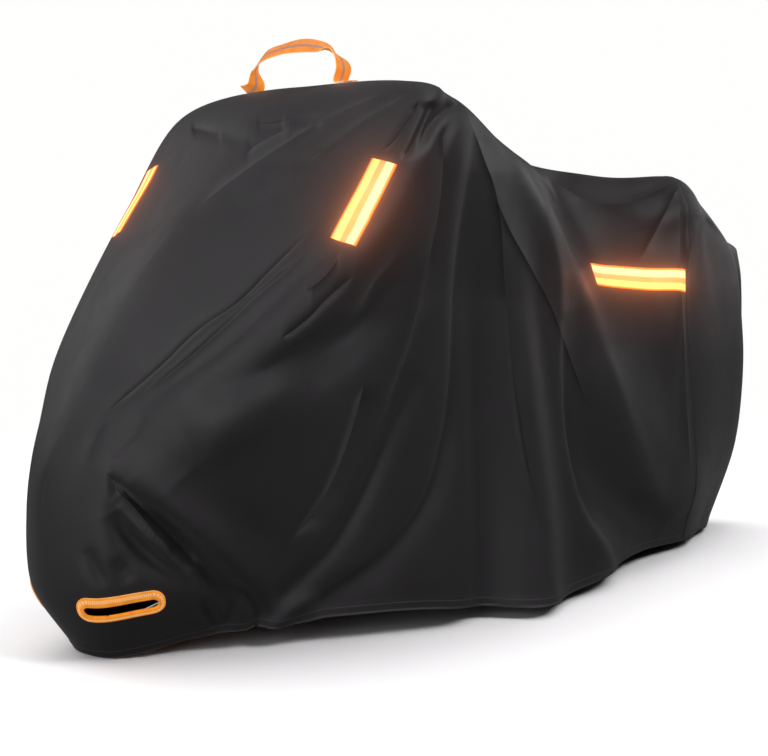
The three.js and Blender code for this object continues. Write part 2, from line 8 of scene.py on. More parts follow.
import bpy
import numpy as np
from bpy.props import FloatProperty, FloatVectorProperty, IntProperty, PointerProperty
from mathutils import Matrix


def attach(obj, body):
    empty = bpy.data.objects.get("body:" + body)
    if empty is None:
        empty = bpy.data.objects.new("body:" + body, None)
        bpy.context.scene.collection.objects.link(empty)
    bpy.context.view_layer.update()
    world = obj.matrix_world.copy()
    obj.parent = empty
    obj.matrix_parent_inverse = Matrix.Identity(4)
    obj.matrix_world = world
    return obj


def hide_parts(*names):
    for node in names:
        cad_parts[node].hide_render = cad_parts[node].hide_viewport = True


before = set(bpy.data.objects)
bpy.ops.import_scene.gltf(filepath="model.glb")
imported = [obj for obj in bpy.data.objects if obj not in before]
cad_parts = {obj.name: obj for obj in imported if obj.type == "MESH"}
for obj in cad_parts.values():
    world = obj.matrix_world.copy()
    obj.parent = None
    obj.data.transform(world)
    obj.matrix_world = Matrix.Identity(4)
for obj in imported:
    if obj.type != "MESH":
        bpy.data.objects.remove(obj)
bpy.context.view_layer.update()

bl_info = {
    "name": "Motorcycle cover",
    "version": (1, 0, 0),
    "blender": (4, 5, 0),
    "location": "3D View > Sidebar > Cover",
    "description": "Builds a draped outdoor motorcycle cover with its tapes, lock slots and handle",
    "category": "Add Mesh",
}

# The part's origin, under the crest over the handlebar, in millimetres from the floor
CROWN = np.array([-290.0, 0.0, 1234.0])

# One leaning section of the cloth for each row, from the crest down to the hem. Each place is
# [along, half width, height].
SECTIONS = {
    "nose": [[-1050, 0, 440], [-1060, 0, 390], [-1066, 0, 310], [-1055, 0, 190], [-968, 0, 66]],
    "cheek": [[-1008, 0, 545], [-1008, 100, 480], [-1030, 108, 350], [-1022, 105, 200], [-945, 70, 64]],
    "brow": [[-945, 0, 655], [-932, 183, 565], [-964, 184, 400], [-950, 172, 230], [-890, 110, 74]],
    "fender": [[-862, 0, 780], [-832, 298, 650], [-846, 288, 450], [-838, 245, 250], [-790, 150, 95]],
    "lamp": [[-740, 0, 922], [-705, 372, 790], [-700, 350, 570], [-690, 295, 310], [-670, 220, 106]],
    "screen": [[-590, 0, 1072], [-550, 420, 985], [-540, 390, 680], [-520, 335, 370], [-500, 300, 118]],
    "mirror": [[-425, 0, 1229], [-400, 425, 1204], [-380, 410, 800], [-360, 370, 430], [-340, 355, 115]],
    "grip": [[-290, 0, 1236], [-285, 404, 1196], [-230, 400, 790], [-210, 385, 430], [-190, 398, 98]],
    "tank": [[-90, 0, 1188], [-75, 325, 1120], [-50, 350, 750], [-40, 385, 410], [-40, 425, 86]],
    "saddle": [[150, 0, 1120], [150, 215, 1066], [150, 300, 700], [140, 350, 390], [130, 378, 86]],
    "seat": [[400, 0, 1072], [400, 125, 995], [380, 265, 660], [370, 310, 370], [350, 305, 98]],
    "pillion": [[590, 0, 1052], [590, 125, 1005], [580, 250, 650], [575, 275, 350], [570, 240, 93]],
    "corner": [[790, 0, 1024], [785, 158, 1034], [725, 262, 640], [740, 262, 330], [770, 208, 86]],
    "tail": [[965, 0, 998], [930, 136, 956], [950, 190, 600], [960, 180, 300], [925, 140, 85]],
    "stern": [[1130, 0, 898], [1142, 80, 836], [1178, 98, 560], [1148, 94, 290], [1045, 78, 72]],
    "end": [[1270, 0, 836], [1288, 0, 745], [1282, 0, 530], [1242, 0, 270], [1125, 0, 68]],
}
# How much lower than that the far side hangs, from the crest to the hem
FAR_DROPS = {
    "fender": [0, 0, 0, 0, 29],
    "lamp": [0, 0, 0, 0, 42],
    "screen": [0, 8, 0, 0, 51],
    "mirror": [0, 30, 0, 0, 30],
    "grip": [0, 20, 0, 0, 8],
}
SEAM_AT = "corner"
CREST_EASE = 0.9
SECTION_EASE = 0.8
BODY_SECTIONS = slice(4, 13)

# Folds are laid out on upright drawing boards through the middle of the cover. Each board is seen
# from an eye beside the cover, and carries the folds of the cloth that faces it.
BOARDS = {"near": [-2855, -2945, 1010], "far": [-2855, 2945, 1010], "rear": [3300, 0, 1010]}
FACING_FADES_IN = (0.02, 0.3)
FOLD_ROUNDING = 4.0
PATH_PIECES = 24

# Main folds: name, board, height out of the cloth, reach left and right of the path, fall off,
# share of the height at both ends, and the path as [across, up] on the board.
MAIN_FOLDS = [
    ("long pleat", "near", -13, (26, 18), 1.3, (0.5, 0.2),
     [[-135, 940], [-285, 810], [-445, 665], [-575, 565], [-685, 475]]),
    ("lip of long pleat", "near", 9, (24, 40), 1.6, (0.5, 0.2),
     [[-125, 925], [-270, 790], [-430, 640], [-560, 545], [-675, 450]]),
    ("valley under pleat", "near", -30, (60, 40), 1.8, (0.3, 0.1),
     [[-65, 825], [-125, 705], [-250, 625], [-380, 570], [-530, 505]]),
    ("belly", "near", 22, (90, 70), 2, (0.4, 0.2), [[-205, 530], [-395, 480], [-565, 410]]),
    ("pinch at mirror", "near", -14, (16, 20), 1.5, (0.5, 0.2), [[95, 1235], [50, 1180], [5, 1110]]),
    ("sweep ridge", "near", 14, (30, 50), 1.7, (0.6, 0.1),
     [[30, 1245], [-105, 1170], [-235, 1090], [-335, 1040], [-440, 985]]),
    ("sweep valley", "near", -10, (26, 22), 1.5, (0.3, 0.2),
     [[-30, 1210], [-140, 1140], [-245, 1070], [-355, 1010], [-455, 950]]),
    ("wheel pinch", "near", -44, (44, 26), 1.6, (0.25, 0.4),
     [[-730, 280], [-660, 220], [-595, 155], [-525, 80], [-485, 35]]),
    ("lip of wheel pinch", "near", 20, (60, 30), 1.8, (0.2, 0.3),
     [[-740, 300], [-630, 250], [-520, 165], [-435, 80]]),
    ("left pinch", "near", -24, (30, 22), 1.6, (0.2, 0.3),
     [[-755, 230], [-715, 160], [-650, 100], [-580, 55]]),
    ("cheek hollow", "near", -18, (60, 60), 2, (0.3, 0.2), [[-580, 315], [-490, 220], [-370, 125]]),
    ("side crease", "near", -34, (20, 50), 1.4, (0.1, 0.6),
     [[0, 575], [-45, 480], [-95, 360], [-145, 250], [-215, 135], [-330, 20]]),
    ("lip of side crease", "near", 16, (40, 30), 1.8, (0.1, 0.5),
     [[-30, 555], [-75, 450], [-125, 340], [-180, 240], [-255, 135], [-360, 35]]),
    ("long fold", "near", -28, (40, 20), 1.4, (0.2, 0.6),
     [[135, 1165], [125, 990], [100, 750], [90, 555], [70, 410], [20, 250], [-90, 110], [-235, 10]]),
    ("lip of long fold", "near", 10, (30, 30), 1.8, (0.2, 0.2),
     [[95, 750], [105, 580], [95, 410], [50, 250], [-40, 115]]),
    ("deep valley", "near", -42, (46, 56), 2, (0.2, 1),
     [[155, 990], [170, 750], [175, 435], [180, 215], [180, 0]]),
    ("flare ridge", "near", 30, (44, 40), 2, (0.2, 1),
     [[195, 1035], [215, 800], [240, 510], [270, 265], [290, -5]]),
    ("sharp ridge", "near", 44, (46, 22), 1.4, (0.2, 0.3),
     [[185, 1220], [225, 1070], [265, 935], [300, 765], [325, 580], [345, 410], [370, 290],
      [400, 195], [430, 115]]),
    ("shade of sharp ridge", "near", -26, (18, 26), 1.5, (0.3, 0.3),
     [[325, 680], [350, 535], [370, 400], [395, 290], [425, 205], [445, 155]]),
    ("hem ridge", "near", 26, (40, 40), 2, (0.3, 0.9), [[410, 215], [420, 115], [420, 15]]),
    ("saddle valley", "near", -34, (30, 60), 1.8, (0.3, 0.2),
     [[235, 1150], [305, 1055], [370, 955], [420, 840]]),
    ("second ridge", "near", 24, (30, 34), 1.6, (0.4, 0.2),
     [[250, 1065], [310, 885], [380, 740], [430, 585], [490, 410], [580, 250]]),
    ("rear valley", "near", -44, (60, 60), 1.9, (0.2, 0.3),
     [[325, 725], [370, 510], [415, 365], [480, 245], [595, 190]]),
    ("rear belly", "near", 22, (70, 90), 2, (0.2, 0.3),
     [[440, 630], [510, 460], [585, 335], [660, 245]]),
    ("corner valley", "near", -20, (40, 26), 1.7, (0.4, 0.1),
     [[700, 1015], [670, 880], [655, 725], [640, 535], [630, 375]]),
    ("sag under saddle", "near", 14, (30, 30), 1.8, (0.3, 0.2),
     [[670, 1000], [610, 960], [545, 945], [480, 970], [420, 1015]]),
    ("far crease", "far", -28, (44, 24), 1.5, (0.1, 0.6),
     [[-40, 610], [50, 450], [110, 300], [215, 150], [350, 30]]),
    ("far long fold", "far", -30, (22, 42), 1.5, (0.2, 0.6),
     [[-120, 1150], [-110, 960], [-80, 700], [-60, 430], [30, 220], [150, 40]]),
    ("far valley", "far", -40, (56, 48), 2, (0.2, 1),
     [[-165, 960], [-190, 700], [-195, 400], [-205, 200], [-210, 0]]),
    ("far flare", "far", 30, (42, 46), 2, (0.2, 1),
     [[-210, 1010], [-240, 760], [-270, 500], [-300, 260], [-325, 0]]),
    ("far sharp ridge", "far", 38, (24, 46), 1.4, (0.2, 0.3),
     [[-190, 1210], [-240, 1050], [-300, 860], [-345, 640], [-375, 420], [-425, 240], [-470, 120]]),
    ("far saddle valley", "far", -30, (58, 32), 1.8, (0.3, 0.2),
     [[-245, 1140], [-320, 1040], [-390, 930], [-440, 810]]),
    ("far rear valley", "far", -40, (60, 58), 1.9, (0.2, 0.3),
     [[-350, 740], [-400, 520], [-450, 350], [-520, 235], [-620, 190]]),
    ("far rear belly", "far", 20, (90, 70), 2, (0.2, 0.3),
     [[-460, 640], [-530, 470], [-610, 330], [-680, 240]]),
    ("tail crease", "rear", -24, (40, 30), 1.6, (0.2, 0.4),
     [[-60, 860], [-80, 640], [-95, 420], [-80, 240], [-60, 90]]),
    ("tail ridge", "rear", 20, (36, 40), 1.8, (0.2, 0.3),
     [[45, 900], [60, 680], [80, 440], [70, 240], [40, 90]]),
]

# Fine creases, laid out in the same way
FINE_FOLDS = [
    ("x crease", "near", -12, (16, 22), 1.4, (0.2, 0.2), [[0, 840], [-75, 760], [-130, 680], [-210, 625]]),
    ("second x crease", "near", -8, (10, 12), 1.4, (0.2, 0.2), [[-30, 870], [-75, 800], [-110, 750]]),
    ("upper pinch", "near", -14, (14, 18), 1.5, (0.5, 0.2), [[95, 1245], [45, 1185], [-5, 1115]]),
    ("lower pinch", "near", -12, (10, 14), 1.5, (0.4, 0.2), [[95, 1210], [65, 1155], [40, 1095]]),
    ("pinch ridge", "near", 7, (10, 10), 1.6, (0.5, 0.3), [[110, 1230], [60, 1170], [15, 1105]]),
    ("top dent", "near", -10, (16, 16), 1.8, (0.2, 0.2), [[-320, 1165], [-280, 1175], [-235, 1175]]),
    ("left curl", "near", -6, (14, 14), 1.6, (0.2, 0.2), [[-495, 1155], [-445, 1135], [-400, 1125]]),
    ("middle curl", "near", -6, (14, 14), 1.6, (0.2, 0.2), [[-315, 1110], [-285, 1140], [-240, 1160]]),
    ("low curl", "near", -7, (16, 16), 1.6, (0.1, 0.3),
     [[-390, 1020], [-345, 1065], [-290, 1080], [-235, 1090]]),
    ("low crease", "near", -6, (12, 16), 1.5, (0.2, 0.2), [[-670, 455], [-715, 410], [-770, 360]]),
    ("second low crease", "near", -6, (12, 14), 1.5, (0.2, 0.2), [[-770, 450], [-800, 410], [-820, 355]]),
    ("rib in wheel pinch", "near", 18, (12, 12), 1.5, (0.2, 0.3),
     [[-740, 260], [-680, 190], [-630, 135], [-570, 70]]),
    ("small dent", "near", -10, (18, 18), 2, (0.8, 0.8), [[-735, 95], [-725, 75]]),
    ("cheek crease", "near", -9, (12, 14), 1.4, (0.2, 0.3), [[-820, 140], [-800, 90], [-775, 45]]),
    ("gather", "near", -10, (10, 10), 1.5, (0.3, 0.8), [[-540, 5], [-520, -20], [-500, -50]]),
    ("second gather", "near", -9, (9, 9), 1.5, (0.3, 0.8), [[-455, 5], [-465, -20], [-475, -50]]),
    ("rim of gather", "near", -13, (14, 12), 1.5, (0.3, 0.8),
     [[-470, 45], [-420, 20], [-395, -25], [-405, -55]]),
    ("fold behind the wheel", "near", 12, (14, 18), 1.5, (0.9, 0.2), [[-360, -50], [-310, 0], [-245, 25]]),
    ("rib at the corner", "near", 9, (14, 12), 1.5, (0.6, 0.1), [[685, 1020], [660, 930], [630, 850]]),
]

# Sharp creases, finer than the cloth's grid, shaded as relief on the cloth that faces the near
# board's eye: name, way that the path steps, height, reach to either side of it, and the path as
# [across, up] on the board.
SHARP_CREASES = [
    ("ridge line", "up", 5, (8, 26),
     [[95, 1220], [145, 1095], [185, 965], [200, 775], [225, 560], [265, 325], [300, 180]]),
    ("second line", "up", 4.5, (7, 24),
     [[165, 1030], [200, 940], [260, 830], [315, 725], [360, 605], [405, 485]]),
    ("saddle line", "across", 5, (24, 8),
     [[270, 1070], [345, 1015], [410, 985], [460, 980], [520, 995], [565, 1015], [615, 1035]]),
    ("corner line", "up", -3.5, (8, 14), [[610, 1025], [565, 930], [520, 845]]),
    ("edge at the seam", "up", 4, (16, 4), [[612, 1025], [618, 835], [628, 680], [640, 500], [652, 330]]),
    ("mirror line", "up", -5, (16, 12),
     [[45, 1190], [50, 1095], [45, 1000], [20, 860], [-5, 750], [-40, 620], [-75, 520], [-125, 400]]),
    ("pleat", "across", -5, (10, 12),
     [[-230, 960], [-290, 895], [-375, 810], [-435, 750], [-535, 680], [-630, 590],
      [-730, 505], [-805, 445]]),
    ("second pleat", "across", -4, (9, 12),
     [[-265, 870], [-340, 810], [-400, 760], [-485, 680], [-570, 605], [-680, 520]]),
    ("wrinkle", "across", -4, (9, 12), [[-160, 810], [-220, 760], [-280, 700], [-340, 655]]),
    ("short wrinkle", "across", 3.5, (9, 9), [[-195, 860], [-230, 810], [-275, 775]]),
    ("top sweep", "across", 4, (22, 12),
     [[-50, 1250], [-125, 1225], [-230, 1180], [-315, 1130], [-435, 1050], [-545, 965]]),
    ("second sweep", "across", -4, (12, 18), [[-30, 1245], [-125, 1190], [-220, 1120], [-315, 1050]]),
    ("mirror pinch", "up", -5, (10, 12), [[-5, 1225], [-30, 1180], [-75, 1120], [-110, 1095]]),
    ("second pinch", "up", -5, (9, 12), [[25, 1225], [-5, 1155], [-30, 1110], [-50, 1080]]),
    ("top dent", "across", -4, (10, 8), [[-395, 1168], [-360, 1170], [-325, 1175]]),
    ("left curl", "across", -3.5, (9, 9), [[-550, 1160], [-515, 1150], [-475, 1138]]),
    ("swirl", "across", -3.5, (9, 12), [[-425, 1090], [-400, 1115], [-375, 1130], [-315, 1160]]),
    ("lower crease", "up", -9, (8, 34), [[-135, 560], [-150, 500], [-180, 400], [-235, 270], [-330, 150]]),
    ("nose pinch", "across", -8, (26, 8), [[-770, 330], [-700, 260], [-620, 180], [-545, 100]]),
    ("second nose pinch", "across", 5, (9, 10), [[-755, 310], [-690, 230], [-640, 170], [-600, 130]]),
]

# Reflective tapes: length, width, middle, the way the tape runs and the way it faces
TAPES = {
    "front_tape_near": (190, 58, [-555, -407, 990], [-0.58, 0.02, -0.81], [-0.74, -0.5, 0.45]),
    "front_tape_far": (190, 58, [-575, 366, 990], [-0.6, -0.1, -0.79], [-0.78, 0.4, 0.48]),
    "rear_tape_near": (338, 58, [556, -225, 795], [1, -0.06, -0.08], [0.08, -0.96, 0.28]),
    "rear_tape_far": (338, 58, [556, 225, 795], [1, 0.06, -0.08], [0.08, 0.96, 0.28]),
}

# Lock slot low on both sides of the nose, and its binding's reach above, below and past the ends
SLOT_LENGTH = 150
SLOT_HEIGHT = 26
SLOT_MIDDLE = [-962, -132, 184]
SLOT_RUNS = [0.76, -0.64, 0.08]
SLOT_FACES = [-0.62, -0.6, -0.5]
BINDING_ABOVE = 22
BINDING_BELOW = 13
BINDING_ENDS = 12

# Carry handle, from the foot on the near side to the foot on the far side: across, height, how
# far the face is turned towards the nose in degrees, and width. The feet lie on the cloth.
HANDLE_ALONG = -380
HANDLE_FEET = [[-172, 4, 40], [-158, 4, 40]], [[172, -38, 48], [186, -38, 48]]
HANDLE_LINE = [
    [-140, 1246, 5, 40],
    [-149, 1274, 8, 40],
    [-136, 1297, -14, 38],
    [-113, 1310, -32, 38],
    [-86, 1319, 22, 38],
    [-45, 1327, 48, 38],
    [66, 1325, 48, 38],
    [130, 1309, 46, 38],
    [155, 1286, 32, 38],
    [154, 1248, -24, 44],
]

# Camera of the photograph, in millimetres from the floor
CAMERA_PLACE = [-2855, -2945, 1010]
CAMERA_YAW = 47.15
CAMERA_PITCH = 6.23
CAMERA_FOCAL_PIXELS = 1710
PHOTO_WIDTH = 768

# Studio: height of the floor's plane, just under the lowest hem, and the soft lamps as
# name, place, size in metres and power in watts
FLOOR_HEIGHT = 62
# Times that the sharp creases are shaded deeper than their table says
CREASE_DEPTH = 2.6
# Share of its colour that the binding and the webbing give off as emission: a painted glow that makes the
# orange brighter than the lamps light it
PAINTED_ORANGE_GLOW = 0.65
LAMPS = [
    ("left_light", [-4400, -1800, 1500], (2.0, 2.0), 48),
    ("front_light", [-3600, 300, 3600], (2.0, 2.0), 32),
    ("nose_light", [-4200, 1500, 1500], (2.0, 2.0), 10),
    ("top_light", [300, -500, 4200], (2.0, 2.0), 16),
    ("near_light", [600, -3200, 3800], (2.0, 2.0), 78),
    ("far_light", [-1500, 4200, 2600], (2.0, 2.0), 24),
    ("rear_light", [4600, 300, 2000], (2.0, 2.0), 17),
]


def in_frame(points):
    """Millimetres from the floor to metres in the frame: the place less the crown, in thousandths."""
    return (np.asarray(points, float) - CROWN) * 0.001


def unit(vectors):
    """Each vector divided by its own length, and one of no length left as it is."""
    vectors = np.asarray(vectors, float)
    return vectors / np.maximum(np.linalg.norm(vectors, axis=-1, keepdims=True), 1e-9)


def smooth_step(value, low, high):
    """3 s^2 - 2 s^3, where s runs from 0 at low to 1 at high."""
    share = np.clip((value - low) / (high - low), 0, 1)
    return share * share * (3 - 2 * share)


def cubic(start, end, slope_start, slope_end, share, span):
    """Cubic from start to end with both slopes, at a share of the span between them."""
    square = share * share
    cube = square * share
    return (
        start * (2 * cube - 3 * square + 1)
        + slope_start * (cube - 2 * square + share) * span
        + end * (3 * square - 2 * cube)
        + slope_end * (cube - square) * span
    )


def knot_slopes(points, knots, first=None, last=None, ease=1.0):
    """Slope at each knot: the slopes of the two stretches beside it, weighted by the other's span."""
    spans = np.diff(knots).reshape((-1,) + (1,) * (points.ndim - 1))
    stretches = np.diff(points, axis=0) / spans
    slopes = np.empty_like(points)
    inner = stretches[:-1] * spans[1:] + stretches[1:] * spans[:-1]
    slopes[1:-1] = ease * inner / (spans[1:] + spans[:-1])
    slopes[0] = stretches[0] if first is None else first
    slopes[-1] = stretches[-1] if last is None else last
    return slopes


def stretch_of(knots, places):
    """Number of the stretch of knots that holds each place, its share of it, and its span."""
    number = np.clip(np.searchsorted(knots, places, side="left") - 1, 0, len(knots) - 2)
    span = knots[number + 1] - knots[number]
    return number, (places - knots[number]) / span, span


LINES = np.array(list(SECTIONS.values()), float)
MIDLINE = (LINES[:, 1] + LINES[:, 2]) / 2
STEPS_ALONG = np.sqrt(np.linalg.norm(np.diff(MIDLINE, axis=0), axis=1))
ALONG = np.concatenate([[0], np.cumsum(STEPS_ALONG)])
STEPS_DOWN = np.linalg.norm(np.diff(LINES[BODY_SECTIONS], axis=1), axis=2).sum(0)
DOWN = np.concatenate([[0], np.cumsum(STEPS_DOWN)])
DOWN = DOWN / DOWN[-1]
NOSE_SLOPE = (LINES[1] - LINES[0]) / (ALONG[1] - ALONG[0]) * [0, 1, 1]
TAIL_SLOPE = (LINES[-1] - LINES[-2]) / (ALONG[-1] - ALONG[-2]) * [0, 1, 1]
LINE_SLOPES = knot_slopes(LINES, ALONG, NOSE_SLOPE, TAIL_SLOPE)
DROPS = np.array([FAR_DROPS.get(name, [0] * 5) for name in SECTIONS], float)
DROP_SLOPES = knot_slopes(DROPS, ALONG)
SEAM = ALONG[list(SECTIONS).index(SEAM_AT)]


def plain_cloth(u, v, side):
    """Cloth before its folds: cubics along the five lines to u, then one down the section to v."""
    number, share, span = stretch_of(ALONG, u)
    share, span = share[:, None, None], span[:, None, None]
    levels = cubic(LINES[number], LINES[number + 1], LINE_SLOPES[number],
                   LINE_SLOPES[number + 1], share, span)
    levels = np.moveaxis(levels, 1, 0)
    drops = cubic(DROPS[number], DROPS[number + 1], DROP_SLOPES[number], DROP_SLOPES[number + 1],
                  share[..., 0], span[..., 0])
    levels[..., 2] -= (drops * (side > 0)[:, None]).T
    crest = levels[1] * [0, CREST_EASE / DOWN[1], 0]
    slopes = knot_slopes(levels, DOWN, first=crest, ease=SECTION_EASE)
    number, share, span = stretch_of(DOWN, v)
    each = np.arange(len(v))
    points = cubic(levels[number, each], levels[number + 1, each], slopes[number, each],
                   slopes[number + 1, each], share[:, None], span[:, None])
    points[:, 1] *= side
    return points


def plain_normal(u, v, side):
    """Outward normal of the plain cloth, from places a five hundredth of the sheet apart."""
    du = ALONG[-1] * 0.002
    dv = 0.002
    along = plain_cloth(np.minimum(u + du, ALONG[-1]), v, side) - plain_cloth(np.maximum(u - du, 0), v, side)
    down = plain_cloth(u, np.minimum(v + dv, 1), side) - plain_cloth(u, np.maximum(v - dv, 0), side)
    normal = unit(np.cross(along, down) * side[:, None])
    normal[(u <= 0) | (u >= ALONG[-1]) | (v <= 0), 1] = 0
    return unit(normal)


def path_points(path):
    """Smooth path through its corners: cubics whose slopes join the corners on either side."""
    corners = np.array(path, float)
    around = np.concatenate([corners[:1], corners, corners[-1:]])
    slopes = (around[2:] - around[:-2]) / 2
    places = np.linspace(0, len(corners) - 1, PATH_PIECES + 1)
    number = np.minimum(places.astype(int), len(corners) - 2)
    share = (places - number)[:, None]
    return cubic(corners[number], corners[number + 1], slopes[number], slopes[number + 1], share, 1.0)


def fold_lift(fold, places):
    """Height times exp(-(distance from the path / reach) ^ fall), less towards the path's ends."""
    height, reach, fall, ends, path = fold[2:]
    knots = path_points(path)
    margin = 3.4 * max(reach)
    inside = np.all((places > knots.min(0) - margin) & (places < knots.max(0) + margin), axis=1)
    near = places[inside]
    best = np.full(len(near), 1e12)
    along = np.zeros(len(near))
    lean = np.zeros(len(near))
    for i in range(PATH_PIECES):
        piece = knots[i + 1] - knots[i]
        to = near - knots[i]
        share = np.clip(to @ piece / (piece @ piece), 0, 1)
        off = to - share[:, None] * piece
        distance = np.linalg.norm(off, axis=1)
        closer = distance < best
        turn = piece[0] * off[:, 1] - piece[1] * off[:, 0]
        turn = turn / (np.linalg.norm(piece) * distance + 1e-9)
        best = np.where(closer, distance, best)
        along = np.where(closer, (i + share) / PATH_PIECES, along)
        lean = np.where(closer, turn, lean)
    side = reach[1] + (reach[0] - reach[1]) * (1 + lean) / 2
    end = np.where(along < 0.5, ends[0], ends[1])
    strength = end + (1 - end) * np.sin(np.pi * along)
    rounded = np.sqrt(best**2 + FOLD_ROUNDING**2) - FOLD_ROUNDING
    lift = np.zeros(len(places))
    lift[inside] = height * strength * np.exp(-((rounded / side) ** fall))
    return lift


def cloth(u, v, side):
    """Plain cloth moved along its normal by all folds of the boards that it faces."""
    points = plain_cloth(u, v, side)
    normals = plain_normal(u, v, side)
    left = np.ones(len(u))
    lift = np.zeros(len(u))
    for name, eye in BOARDS.items():
        eye = np.array(eye, float)
        depth = unit(np.array([-eye[0], -eye[1], 0.0]))
        across = np.array([depth[1], -depth[0], 0.0])
        away = points - eye
        scale = np.hypot(eye[0], eye[1]) / (away @ depth)
        places = np.stack([away @ across * scale, eye[2] + away[:, 2] * scale], axis=1)
        weight = left * smooth_step((unit(-away) * normals).sum(1), *FACING_FADES_IN)
        left = left - weight
        facing = weight > 0
        for fold in MAIN_FOLDS + FINE_FOLDS:
            if fold[1] == name:
                lift[facing] += weight[facing] * fold_lift(fold, places[facing])
    return points + normals * lift[:, None]


def cloth_normal(u, v, side, step=0.004):
    """Outward normal of the folded cloth, from places about four millimetres to either side."""
    along = cloth(np.minimum(u + step * 8, ALONG[-1]), v, side) - cloth(np.maximum(u - step * 8, 0), v, side)
    down = cloth(u, np.minimum(v + step, 1), side) - cloth(u, np.maximum(v - step, 0), side)
    return unit(np.cross(along, down) * side[:, None])


def lay_on_cloth(places, toward, side):
    """Cloth place (u, v) on the line through each place along toward, by Newton's method."""
    toward = unit(toward)
    first = unit(np.cross(toward, [0.3, 0.5, 0.8]))
    second = np.cross(toward, first)
    guess_u, guess_v = np.meshgrid(np.linspace(0, ALONG[-1], 220), np.linspace(0, 1, 110), indexing="ij")
    guess_u, guess_v = guess_u.ravel(), guess_v.ravel()
    known = cloth(guess_u, guess_v, np.full(len(guess_u), side))
    off = known[None] - places.mean(0)
    close = np.linalg.norm(off[0], axis=1) < 320
    known, guess_u, guess_v = known[close], guess_u[close], guess_v[close]
    gap = known[None] - places[:, None]
    depth = gap @ toward
    missed = (gap**2).sum(2) - depth**2 + np.where(np.abs(depth) > 90, 1e6, 0)
    nearest = missed.argmin(1)
    u, v = guess_u[nearest], guess_v[nearest]
    sides = np.full(len(u), side)
    for _ in range(7):
        here = cloth(u, v, sides)
        by_u = (cloth(u + 0.02, v, sides) - here) / 0.02
        by_v = (cloth(u, v + 0.001, sides) - here) / 0.001
        a, b = by_u @ first, by_v @ first
        c, d = by_u @ second, by_v @ second
        miss = places - here
        x, y = miss @ first, miss @ second
        whole = a * d - b * c
        u = np.clip(u + np.clip((d * x - b * y) / whole, -0.6, 0.6), 0, ALONG[-1] - 0.03)
        v = np.clip(v + np.clip((a * y - c * x) / whole, -0.03, 0.03), 0, 0.9985)
    return u, v


def sheet_rows(count, start, end):
    """Rows of the cloth grid, closer together over the handlebar, the tank and the nose."""
    fine = np.linspace(start, end, 4001)
    shares = fine / ALONG[-1]
    density = 1 + 0.55 * np.exp(-(((shares - 0.44) / 0.15) ** 2)) + 0.25 * np.exp(-((shares / 0.12) ** 2))
    total = np.concatenate([[0], np.cumsum((density[1:] + density[:-1]) / 2)])
    return np.interp(np.linspace(0, total[-1], count), total, fine)


HEM_PLACES = np.array([26.0, 17.0, 8.0, 0.0])


def sheet_columns(u, count, side):
    """Columns down one side: even shares, and the last four at fixed distances above the hem."""
    v = np.linspace(0, 1, 41)
    grid_u, grid_v = np.meshgrid(u, v, indexing="ij")
    points = plain_cloth(grid_u.ravel(), grid_v.ravel(), np.full(grid_u.size, side))
    points = points.reshape(grid_u.shape + (3,))
    steps = np.linalg.norm(np.diff(points, axis=1), axis=2)
    length = np.concatenate([np.zeros((len(u), 1)), np.cumsum(steps, axis=1)], axis=1)
    wanted = length[:, -1:] - HEM_PLACES
    hem = np.stack([np.interp(row, lengths, v) for row, lengths in zip(wanted, length)])
    shares = np.linspace(0, 1, count - len(HEM_PLACES) + 1)[:-1]
    shares = shares - 0.05 * np.sin(2 * np.pi * shares) / (2 * np.pi) * 2
    return np.concatenate([shares * hem[:, :1], hem], axis=1)


def arc_lengths(points, axis):
    """Distance along the grid lines that run along an axis, from its start."""
    steps = np.linalg.norm(np.diff(points, axis=axis), axis=2)
    first = np.zeros_like(np.take(steps, [0], axis=axis))
    return np.concatenate([first, np.cumsum(steps, axis=axis)], axis=axis)


def grid_normals(points, closed_first, closed_last):
    """Normal at each grid place, from its neighbours. Past a closed end they are the other side's."""
    before = points[1:2, ::-1] if closed_first else points[:1]
    after = points[-2:-1, ::-1] if closed_last else points[-1:]
    padded = np.concatenate([before, points, after])
    along = padded[2:] - padded[:-2]
    across = np.gradient(points, axis=1)
    return unit(np.cross(along, across))


def quads_of(numbers):
    """Four corners of each cell of a grid of vertex numbers."""
    return np.stack([numbers[:-1, :-1], numbers[1:, :-1], numbers[1:, 1:], numbers[:-1, 1:]], axis=2)


def new_piece(name, vertices, faces, material, slot, uv_maps=()):
    """Smooth mesh object from metres and faces, with UV maps given for each vertex of each face."""
    mesh = bpy.data.meshes.new(name)
    mesh.from_pydata(vertices, [], faces)
    mesh.validate()
    mesh.polygons.foreach_set("use_smooth", np.ones(len(mesh.polygons), bool))
    loops = np.empty(len(mesh.loops), int)
    mesh.loops.foreach_get("vertex_index", loops)
    for map_name, values in uv_maps:
        layer = mesh.uv_layers.new(name=map_name)
        layer.uv.foreach_set("vector", np.ascontiguousarray(values[loops], np.float32).ravel())
    mesh.update()
    piece = bpy.data.objects.new(name, mesh)
    bpy.context.scene.collection.objects.link(piece)
    mesh.materials.append(material)
    if slot:
        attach(piece, "root")
    return piece


